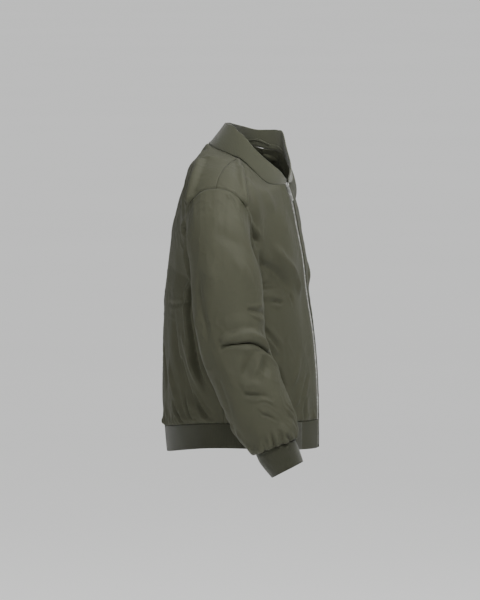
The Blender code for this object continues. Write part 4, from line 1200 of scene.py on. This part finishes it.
def make_lining(look, front, back):
    """The lining behind the neck opening: it follows the cloth's folds and is gathered into the neck seam."""
    meshes = []
    deepest = LINING_COLUMNS / PANEL_COLUMNS
    for is_front in (True, False):
        for side in (-1, 1):
            rows = even_keys(lambda k: panel(is_front, side, k, [0.3])[:, 0], 0, LINING_ROWS, LINING_FINE)
            shares = even_keys(lambda k: panel(is_front, side, np.array([4.0]), k)[0], 0, 1, LINING_FINE)
            grid = panel(is_front, side, rows, shares)
            first = np.zeros(len(rows))
            if is_front:
                first = soft_step((rows - NECK_ROWS + 1.6) / 1.0) / PANEL_COLUMNS
            count = int(deepest * len(shares))
            wanted = first[:, None] + (deepest - first[:, None]) * np.linspace(0, 1, count)
            parts = [[np.interp(w, shares, line[:, k]) for w, line in zip(wanted, grid)] for k in range(3)]
            cloth = (front if is_front else back)[side]
            moved = cloth.at(cloth.surface() - cloth.base, *np.broadcast_arrays(rows[:, None], wanted))
            points = np.stack(parts, -1) * (1, -1, 1) + moved
            normals = grid_normals(points, from_axis)
            share = np.minimum(1.0, wanted * PANEL_COLUMNS / 2)
            inset = LINING_IN + LINING_FURTHER * np.where(rows[:, None] <= NECK_ROWS, share, 1.0)
            away = points[..., :2] - (0, -NECK_FORWARD)
            angle = np.arctan2(away[..., 1], away[..., 0])
            run = run_lengths(points, 1)
            pleats = np.array([
                noise.noise(Vector((10.5 * math.cos(a), 10.5 * math.sin(a), 7.0 * r)))
                for a, r in zip(angle.ravel(), run.ravel())
            ]).reshape(angle.shape)
            pleats = PLEAT_HEIGHT * (0.45 - np.abs(pleats) * 1.5) * soft_step(run / 0.008 + 0.25)
            sag = LINING_SAG * soft_step(run / 0.045) * (1 - soft_step((run - 0.08) / 0.06)) * (side > 0)
            sag *= soft_step(NECK_ROWS - 0.6 - rows)[:, None]
            surface = points - normals * (inset + sag + pleats * np.exp(-run / PLEAT_REACH))[..., None]
            sewn = soft_step((NECK_ROWS - rows) / 0.3)[:, None]
            surface[..., 2] += LINING_UP * np.maximum(0, 1 - run / 0.006) * sewn
            uv = np.stack([run, -run_lengths(points, 0)], -1)
            meshes.append(grid_mesh("lining", surface, uv, {"seam": run, "lift": pleats}))
            face_outwards(meshes[-1], from_axis)
    whole = joined("lining", meshes, 4e-4)
    return thicken(piece("lining_cloth", whole, "jacket", ["lining"], look), LINING)


def strip_mesh(name, middles, sides, ups, profile):
    """A closed band along a line; its cross-section is given in the ways of sides and ups."""
    grid = np.array([middles + sides * a + ups * b for a, b in (*profile, profile[0])])
    run = run_lengths(grid, 1)[0]
    turn = np.concatenate([[0], np.cumsum(np.hypot(*np.diff(np.array([*profile, profile[0]]), axis=0).T))])
    uv = np.stack(np.broadcast_arrays(turn[:, None], run[None]), -1)
    return closed(grid_mesh(name, grid, uv, closes=True))


def closed(mesh):
    """The mesh with its open ends filled and its faces out."""
    bm = bmesh.new()
    bm.from_mesh(mesh)
    bmesh.ops.holes_fill(bm, edges=[e for e in bm.edges if e.is_boundary], sides=0)
    bmesh.ops.recalc_face_normals(bm, faces=bm.faces)
    bm.to_mesh(mesh)
    bm.free()
    return mesh


def rounded(half_thick, half_wide, steps=3):
    """A flat band's cross-section with round edges."""
    spots = []
    for sign_b in (1, -1):
        for angle in np.linspace(0, 180, 2 * steps + 1):
            a = math.cos(math.radians(angle)) * half_thick * sign_b
            b = (half_wide - half_thick + math.sin(math.radians(angle)) * half_thick) * sign_b
            spots.append((a, b))
    return spots


def collar_frames(angles, rises):
    """Points on the collar with the ways round the neck, up the collar and inwards."""
    here = neck_point(angles, rises) * (1, -1, 1)
    around = (neck_point(angles + 0.5, rises) - neck_point(angles - 0.5, rises)) * (1, -1, 1)
    up = (neck_point(angles, rises + 0.02) - neck_point(angles, rises - 0.02)) * (1, -1, 1)
    around /= np.linalg.norm(around, axis=1)[:, None]
    up /= np.linalg.norm(up, axis=1)[:, None]
    inward = np.cross(around, up)
    away = here + (0, NECK_FORWARD, 0)
    away[:, 2] = 0
    inward *= -np.sign((inward * away).sum(axis=1))[:, None]
    return here, around, up, inward / np.linalg.norm(inward, axis=1)[:, None]


def collar_heights(angles):
    return np.linalg.norm(neck_point(angles, 1.0) - neck_point(angles, 0.0), axis=1)


def make_neck_tape(look):
    """Twill tape over the back half of the neck seam, inside."""
    angles = np.concatenate([np.linspace(62, 180, 130), np.linspace(-180, -62, 130)[1:]])
    here, _, up, inward = collar_frames(angles, 0.0078 / collar_heights(angles))
    slack = np.array([noise.noise(Vector((a * 0.12, 0, 2))) for a in angles])[:, None] * 0.0004
    middles = here + inward * (RIB / 2 + 0.0010 + 0.0003 + slack)
    mesh = strip_mesh("neck_tape", middles, inward, up, rounded(TAPE / 2, 0.0055))
    return piece("neck_tape_band", mesh, "jacket", ["neck_tape"], look)


def make_hanger_loop(look):
    share = np.linspace(0, 1, 48)
    angles = 107 + 36 * (share - 0.5)
    lift = 0.0118 + 0.0068 * np.sin(math.pi * share) ** 0.7
    here, _, up, inward = collar_frames(angles, lift / collar_heights(angles))
    clear = RIB / 2 + 0.0033 + 0.0016 * np.sin(math.pi * share)
    mesh = strip_mesh("hanger_loop", here + inward * clear[:, None], inward, up, rounded(0.00075, 0.0021))
    return piece("hanger_loop_band", mesh, "jacket", ["hanger_loop"], look)

# ------------------------------------------------------------------ zip

# the zip, as on the pattern
TEETH_DEPTH = 0.0026
TAPE_INNER, TAPE_OUTER = 0.0037, 0.0139
ZIP_BEHIND = 0.0021
SLIDER_HEIGHT = -0.0722
SLIDER_HALF, SLIDER_LENGTH = 0.0046, 0.0110
CHAIN_FRONT = TEETH_DEPTH / 2 + 0.0003
CHAIN_BACK = -TEETH_DEPTH / 2 + 0.0003
PLATE_BACK = CHAIN_FRONT + 0.0004
PLATE_FRONT = PLATE_BACK + 0.0014
AXIS_OUT = PLATE_FRONT + 0.0009
TOOTH_PITCH = 0.0030


def front_edges():
    """Both fronts' edges at even heights from the slider down: right, left, the way across and outwards."""
    heights = np.arange(SLIDER_HEIGHT, -0.634, -0.0025)
    edges = []
    for side in (-1, 1):
        rows = np.linspace(NECK_ROWS, PANEL_ROWS, 400)
        line = panel(True, side, rows, [0.0])[:, 0]
        depths = np.linspace(0, 1, 40)[1:, None]
        below = line[-1] * (1 - depths) + rib_bottom(True, side, [0.0])[0] * depths
        line = np.vstack([line, below]) * (1, -1, 1)
        edges.append(np.stack([np.interp(-heights, -line[:, 2], line[:, k]) for k in range(3)], -1))
    right, left = edges
    middle = (right + left) / 2
    down = np.gradient(middle, axis=0)
    down /= np.linalg.norm(down, axis=1)[:, None]
    across = left - right
    across -= down * (across * down).sum(axis=1)[:, None]
    across /= np.linalg.norm(across, axis=1)[:, None]
    out = np.cross(down, across)
    return middle - out * ZIP_BEHIND, across, down, out


def repeated(name, template, places):
    """Copies of a small mesh at each place (a matrix), joined as one."""
    bm = bmesh.new()
    for place in places:
        start = len(bm.verts)
        bm.from_mesh(template)
        bm.verts.ensure_lookup_table()
        bmesh.ops.transform(bm, matrix=place, verts=bm.verts[start:])
    return mesh_of(bm, name)


def block(bm, low, high, bevel, taper=0.0):
    """A box with round edges in the zip's axes (across, down, out), its lower end narrower by the taper."""
    low, high = Vector(low), Vector(high)
    made = bmesh.ops.create_cube(bm, size=1.0)["verts"]
    bmesh.ops.scale(bm, vec=high - low, verts=made)
    bmesh.ops.translate(bm, vec=(high + low) / 2, verts=made)
    for vert in made:
        if vert.co.y > (high.y + low.y) / 2:
            middle = (high.x + low.x) / 2
            vert.co.x = middle + (vert.co.x - middle) * (1 - taper)
    round_off(bm, list({edge for vert in made for edge in vert.link_edges}), bevel)


def round_off(bm, edges, bevel):
    bmesh.ops.bevel(bm, geom=edges, offset=bevel, segments=2, profile=0.5, affect="EDGES", material=-1)


def frame_matrix(middle, across, down, out):
    rows = zip(np.array([across, down, out]).T, middle)
    return Matrix([(*row, place) for row, place in rows] + [(0, 0, 0, 1)])


def make_teeth(look, middles, across, down, out):
    """Moulded teeth: each a foot on its tape with a head that meets the other side's between two of them."""
    bm = bmesh.new()
    half = TEETH_DEPTH / 2
    block(bm, (-0.0006, -0.00055, -half), (0.0010, 0.00055, half), 0.0003)
    block(bm, (0.0009, -0.00080, -half + 0.0002), (0.0029, 0.00080, half - 0.0002), 0.0003)
    tooth = mesh_of(bm, "tooth")
    run = lengths_along(middles)
    places = []
    for k, length in enumerate(np.arange(0.007, run[-1] - 0.002, TOOTH_PITCH / 2)):
        here, a, d, o = [point_at(length, run, line) for line in (middles, across, down, out)]
        side = 1 if k % 2 else -1
        places.append(frame_matrix(here + o * 0.0011, a * side, d * side, o))
    mesh = repeated("zip_teeth", tooth, places)
    return piece("zip_teeth", mesh, "jacket", ["zip_chain"], look, smooth=False)


def make_tapes(look, middles, across, out):
    made = {}
    for name, side in SIDES:
        middle = middles + across * side * (TAPE_INNER + TAPE_OUTER) / 2
        half = (TAPE_OUTER - TAPE_INNER) / 2
        mesh = strip_mesh("zip_tape", middle, out, across, rounded(0.0004, half, 2))
        node = "zip_tape_" + name
        made[node] = piece(node + "_band", mesh, "jacket", [node], look)
    return made


def make_slider(look, place):
    """The slider: two plates, the wedge between them, side flanges and the bridge that carries the pull."""
    half, reach = SLIDER_HALF, SLIDER_LENGTH / 2
    back_low = CHAIN_BACK - 0.0015
    bm = bmesh.new()
    block(bm, (-half, -reach, PLATE_BACK), (half, reach, PLATE_FRONT), 0.0005, 0.22)
    block(bm, (-half, -reach, back_low), (half, reach, back_low + 0.0011), 0.0004, 0.22)
    wedge = (-0.0024, -reach + 0.0003, back_low + 0.0002), (0.0024, -0.0012, PLATE_FRONT - 0.0002)
    block(bm, *wedge, 0.0003, 0.4)
    for side in (-1, 1):
        low, high = sorted((side * (half - 0.0008), side * half))
        flange = (low, -reach + 0.0006, PLATE_BACK - 0.0009), (high, reach - 0.0016, PLATE_BACK + 0.0004)
        block(bm, *flange, 0.0003)
    arch = []
    for step in range(9):
        angle = math.radians(180 - 22.5 * step)
        arch.append((0.0031 * math.cos(angle), AXIS_OUT + 0.0002 + 0.0013 * math.sin(angle)))
    arch = [(arch[0][0], PLATE_FRONT - 0.0004), *arch, (arch[-1][0], PLATE_FRONT - 0.0004)]
    rings = []
    for k, (y, z) in enumerate(arch):
        before, after = arch[max(k - 1, 0)], arch[min(k + 1, len(arch) - 1)]
        way = Vector((0, after[0] - before[0], after[1] - before[1])).normalized()
        normal = Vector((0, -way.z, way.y))
        middle = Vector((0, y, z))
        corners = [(-0.0009, -0.0003), (0.0009, -0.0003), (0.0009, 0.0003), (-0.0009, 0.0003)]
        rings.append([bm.verts.new(middle + Vector((a, 0, 0)) + normal * b) for a, b in corners])
    bridge = []
    for first, second in zip(rings, rings[1:]):
        for k in range(4):
            bridge.append(bm.faces.new((first[k], first[(k + 1) % 4], second[(k + 1) % 4], second[k])))
    bridge.append(bm.faces.new(rings[0][::-1]))
    bridge.append(bm.faces.new(rings[-1]))
    bmesh.ops.recalc_face_normals(bm, faces=bridge)
    bmesh.ops.transform(bm, matrix=place, verts=bm.verts)
    bmesh.ops.recalc_face_normals(bm, faces=bm.faces)
    mesh = mesh_of(bm, "slider")
    return piece("slider_body", mesh, "jacket", ["zip_slider"], look, smooth=False)


PULL_THICK = 0.0009


def make_pull(look, place):
    """A flat tab with an eye round the bridge and a slot near its lower end."""
    # how far down, and half width; then the half width of its holes
    widths = ((-0.0004, 0.0026), (0.0005, 0.0028), (0.0036, 0.0028), (0.0050, 0.0030), (0.0110, 0.0030))
    widths += ((0.0250, 0.0032), (0.0262, 0.0032), (0.0325, 0.0032), (0.0345, 0.0030), (0.0360, 0.0022))
    inner = (0.0014,) * 9 + (0.0010,)
    holes = {1, 6}
    bm = bmesh.new()
    rows = []
    for (down, half), slot in zip(widths, inner):
        rows.append([bm.verts.new((x, down, -PULL_THICK / 2)) for x in (-half, -slot, slot, half)])
    flat = []
    for k, (first, second) in enumerate(zip(rows, rows[1:])):
        for j in range(3):
            if j == 1 and k in holes:
                continue
            flat.append(bm.faces.new((first[j], first[j + 1], second[j + 1], second[j])))
    raised = bmesh.ops.extrude_face_region(bm, geom=flat)["geom"]
    raised = [vert for vert in raised if isinstance(vert, bmesh.types.BMVert)]
    bmesh.ops.translate(bm, vec=(0, 0, PULL_THICK), verts=raised)
    bmesh.ops.recalc_face_normals(bm, faces=bm.faces)
    rim = [e for e in bm.edges if len(e.link_faces) == 2 and e.calc_face_angle(0) > 0.8]
    round_off(bm, rim, 0.00028)
    bmesh.ops.translate(bm, vec=(0, 0, AXIS_OUT), verts=bm.verts)
    bmesh.ops.transform(bm, matrix=place, verts=bm.verts)
    bmesh.ops.recalc_face_normals(bm, faces=bm.faces)
    return piece("pull_tab", mesh_of(bm, "pull"), "pull", ["zip_pull"], look, smooth=False)

# ------------------------------------------------------------------ stitches

STITCH_PITCH, STITCH_LONG, STITCH_AIM, THREAD_THICK = 0.0038, 0.0029, 0.0012, 0.0006


def beside(cloth, edge, distance, start=0.0, stop=1.0):
    """Rows and columns of the line at a distance from an edge, between two shares of the edge's length."""
    off = cloth.lengths(edge)
    found = []
    if edge in ("first", "last"):
        for i in range(len(cloth.rows)):
            line, keys = (off[i], cloth.columns) if edge == "first" else (off[i][::-1], cloth.columns[::-1])
            if line.max() > distance:
                found.append((cloth.rows[i], np.interp(distance, line, keys)))
    else:
        for j in range(len(cloth.columns)):
            line, keys = (off[:, j], cloth.rows) if edge == "top" else (off[::-1, j], cloth.rows[::-1])
            found.append((np.interp(distance, line, keys), cloth.columns[j]))
    found = np.array(found)
    return found[int(start * (len(found) - 1)) : int(stop * (len(found) - 1)) + 1]


def stitch_rows(name, cloth, node, look, *lines):
    """Rows of stitches that lie on the cloth along lines of its rows and columns."""
    surface = cloth.surface()
    normals = grid_normals(surface, cloth.outward)
    bm = bmesh.new()
    for line in lines:
        points = cloth.at(surface, line[:, 0], line[:, 1])
        outs = cloth.at(normals, line[:, 0], line[:, 1])
        points = points + outs * (CLOTH / 2)
        run = lengths_along(points)
        for length in np.arange(STITCH_PITCH, run[-1] - STITCH_PITCH, STITCH_PITCH):
            ends = [Vector(point_at(length + way * STITCH_AIM, run, points)) for way in (-1, 1)]
            out = Vector(point_at(length, run, outs)).normalized()
            along = (ends[1] - ends[0]).normalized()
            side = out.cross(along).normalized()
            out = along.cross(side)
            middle = (ends[0] + ends[1]) / 2 + out * 0.00002
            sizes = (STITCH_LONG, THREAD_THICK, THREAD_THICK * 0.8)
            ways = [way * size for way, size in zip((along, side, out), sizes)]
            turned_to = frame_matrix(middle, *ways) @ Matrix.Rotation(math.pi / 2, 4, "Y")
            bmesh.ops.create_uvsphere(bm, u_segments=6, v_segments=4, radius=0.5, matrix=turned_to)
    bmesh.ops.recalc_face_normals(bm, faces=bm.faces)
    return piece(name, mesh_of(bm, name), "jacket", [], look)

# ------------------------------------------------------------------ floor, lights and camera

CAMERA_TURN, CAMERA_RISE, CAMERA_AWAY = math.radians(-80), math.radians(4.5), 14.0
CAMERA_AIM = Vector((0.0, 0.0, -0.3225))
VIEW_HEIGHT = 1.29
SHOULDER_HEIGHT = 1.40


def away(turn, rise, distance):
    level = math.cos(rise) * distance
    return Vector((math.sin(turn) * level, -math.cos(turn) * level, math.sin(rise) * distance))


def facing(way):
    return way.to_track_quat("-Z", "Y").to_euler()


def set_camera():
    camera = linked("camera", bpy.data.cameras.new("camera"))
    camera.data.sensor_width = 36
    camera.data.lens = camera.data.sensor_width * CAMERA_AWAY / VIEW_HEIGHT
    camera.data.clip_end = 400
    camera.location = CAMERA_AIM + away(CAMERA_TURN, CAMERA_RISE, CAMERA_AWAY)
    camera.rotation_euler = facing(CAMERA_AIM - camera.location)
    bpy.context.scene.camera = camera


def set_light(name, turn, rise, distance, size, power, aim=None):
    """A lamp turned and raised about the jacket, or a narrow one on a spot of it where an aim is given."""
    lamp = bpy.data.lights.new(name, "SPOT" if aim else "AREA")
    lamp.energy = power
    if aim:
        lamp.shadow_soft_size = size
        lamp.spot_size, lamp.spot_blend = math.radians(aim[3]), 1.0
    else:
        lamp.shape = "DISK"
        lamp.size = size
    middle = Vector(aim[:3]) if aim else CAMERA_AIM
    light = linked(name, lamp)
    light.location = middle + away(math.radians(turn), math.radians(rise), distance)
    light.rotation_euler = facing(middle - light.location)


def set_stage():
    bm = bmesh.new()
    bmesh.ops.create_grid(bm, x_segments=1, y_segments=1, size=FLOOR_REACH)
    bmesh.ops.translate(bm, vec=(0, 0, -SHOULDER_HEIGHT), verts=bm.verts)
    floor = linked("floor", mesh_of(bm, "floor"))
    look = Look("floor_paint")
    tone = look.cloudy(look.place(), 0.6, 3.0)
    look.feed(base_color=look.tinted(FLOOR_TONE, 0.97 + tone * 0.05), roughness=0.9 + tone * 0.05)
    floor.data.materials.append(look.material)
    world = bpy.data.worlds.new("studio")
    world.use_nodes = True
    background = world.node_tree.nodes["Background"]
    background.inputs["Color"].default_value = WORLD_TONE
    background.inputs["Strength"].default_value = WORLD_LIGHT
    bpy.context.scene.world = world
    for light in LIGHTS:
        set_light(*light)
    lamp = bpy.data.lights.new("sky_panel", "SUN")
    lamp.energy = SUN_STRENGTH
    lamp.angle = math.radians(24)
    to_sun = away(math.radians(SUN_TURN), math.radians(SUN_RISE), 1)
    linked("sky_panel", lamp).rotation_euler = facing(-to_sun)


WORLD_TONE, WORLD_LIGHT = (0.94, 0.96, 1.0, 1), 0.20
FLOOR_TONE, FLOOR_REACH = (0.90, 0.90, 0.885), 160.0
# name, turn from the front and rise in degrees, distance, size, power, and a narrow one's aim and angle
LIGHTS = (
    ("key", -54, 38, 2.2, 0.4, 48),
    ("low_front", -82, 9, 4.0, 0.6, 16),
    ("side", -114, 26, 3.0, 0.4, 30),
    ("into_neck", -80, 8, 3.0, 0.12, 760, (0.12, -0.062, -0.032, 2.3)),
    ("far_side", 75, 35, 4.5, 2.4, 20),
    ("behind", 170, 40, 4.5, 2.4, 20),
)
SUN_TURN, SUN_RISE, SUN_STRENGTH = 40, 66, 2.35

# ------------------------------------------------------------------ the jacket

def main():
    set_camera()
    set_stage()
    # each nylon's second colour is its tone for wear and for the painted highlight on raised folds
    cloth_look = nylon("olive_nylon", OLIVE, OLIVE_WORN_AND_HIGHLIT).material
    # the lining is painted lighter, as light that falls inside the neck opening
    painted_light_lining_look = nylon("lining_cloth", LINING_OLIVE_PAINTED_LIGHT, LINING_PAINTED_LIGHT_WORN_AND_HIGHLIT, 0.0004, 0.5).material
    # the hem tabs are painted darker, as shade low on the jacket
    shaded_tab_look = nylon("tab_nylon_painted_shade", TAB_OLIVE_PAINTED_SHADE, TAB_SHADED_WORN_AND_HIGHLIT).material
    # each knit's second colour is painted shade in the grooves between its ribs
    knit_look = knit("rib_knit", (0.048, 0.050, 0.032), (0.035, 0.036, 0.024)).material
    # the hem band and cuffs are painted darker than the collar, as shade low on the jacket
    shaded_knit_look = knit("rib_knit_painted_shade", (0.025, 0.026, 0.0150), (0.017, 0.018, 0.0100)).material
    tape_look = woven_tape("olive_tape", (0.052, 0.054, 0.036), 0.0011).material
    zip_tape_look = woven_tape("zip_tape", (0.075, 0.076, 0.066), 0.0009).material
    thread_look = thread("olive_thread", (0.075, 0.077, 0.054)).material
    teeth_look = zip_metal("zip_teeth", (0.80, 0.80, 0.77), (0.38, 0.38, 0.36), 0.55).material
    slider_look = zip_metal("zip_slider", (0.90, 0.90, 0.88), (0.45, 0.45, 0.43), 0.48).material

    front = {side: panel_cloth("front_" + name, True, side, 3 + side) for name, side in SIDES}
    back = {side: panel_cloth("back_" + name, False, side, 13 + side) for name, side in SIDES}
    sleeve = {side: sleeve_cloth("sleeve_" + name, side, 23 + side) for name, side in SIDES}
    for side in (-1, 1):
        shape_front(front[side], side)
        shape_back(back[side], side)
        shape_sleeve(sleeve[side], side)
    close_seams(front, back, sleeve)

    made = {}
    for name, side in SIDES:
        made["front_" + name] = cloth_piece(front[side], "front_" + name, cloth_look)
        made["sleeve_" + name] = cloth_piece(sleeve[side], "sleeve_" + name, cloth_look)
        made["cuff_" + name] = make_cuff("cuff_" + name, side, shaded_knit_look)
    made["back"] = back_piece(back[-1], back[1], cloth_look)
    made["collar"] = make_collar(knit_look)
    made.update(make_hem(shaded_knit_look, shaded_tab_look))
    made["lining"] = make_lining(painted_light_lining_look, front, back)
    made["neck_tape"] = make_neck_tape(tape_look)
    made["hanger_loop"] = make_hanger_loop(tape_look)
    middles, across, down, out = front_edges()
    made.update(make_tapes(zip_tape_look, middles, across, out))
    make_teeth(teeth_look, middles, across, down, out)
    place = frame_matrix(middles[0], across[0], down[0], out[0])
    make_slider(slider_look, place)
    make_pull(slider_look, place)
    stitch_all(front, back, thread_look)
    declare_sheets(made)


def stitch_all(front, back, look):
    double = (0.0018, 0.0068)
    for name, side in SIDES:
        lines = [beside(front[side], "last", gap, 0.0, 0.55) for gap in double]
        lines += [beside(front[side], "first", gap, 0.03, 0.23) for gap in double]
        lines += [beside(front[side], "first", gap, 0.27, 1.0) for gap in (0.0030, PLACKET)]
        lines.append(beside(front[side], "bottom", 0.0025))
        stitch_rows("stitches_front_" + name, front[side], "front_" + name, look, *lines)
        lines = [beside(back[side], "last", gap, 0.0, 0.55) for gap in double]
        lines += [beside(back[side], "first", gap, 0.0, 0.2) for gap in double]
        lines.append(beside(back[side], "bottom", 0.0025))
        stitch_rows("stitches_back_" + name, back[side], "back", look, *lines)


def declare_sheets(made):
    for name, obj in made.items():
        name in SHEETS


# piece: flat width and length, how it is held, its area, what it rests on
SHEETS = {
    "front_right": ((0.280, 0.655), "hung", 0.150, ()),
    "front_left": ((0.278, 0.680), "hung", 0.155, ()),
    "back": ((0.600, 0.790), "hung", 0.350, ()),
    "sleeve_right": ((0.557, 0.598), "hung", 0.205, ()),
    "sleeve_left": ((0.557, 0.589), "hung", 0.205, ()),
    "lining": ((0.480, 0.300), "hung", 0.120, ()),
    "collar": ((0.560, 0.055), "stretched", 0.0250, ()),
    "hem_rib": ((0.925, 0.056), "stretched", 0.0515, ()),
    "cuff_right": ((0.225, 0.062), "stretched", 0.0135, ()),
    "cuff_left": ((0.220, 0.060), "stretched", 0.0130, ()),
    "hem_tab_right": ((0.060, 0.070), "hung", 0.0042, ()),
    "hem_tab_left": ((0.060, 0.070), "hung", 0.0042, ()),
    "neck_tape": ((0.011, 0.373), "hung", 0.0041, ()),
    "hanger_loop": ((0.010, 0.060), "hung", 0.00026, ()),
    "zip_tape_right": ((0.0102, 0.566), "hung", 0.0057, ()),
    "zip_tape_left": ((0.0102, 0.566), "hung", 0.0057, ()),
}

main()
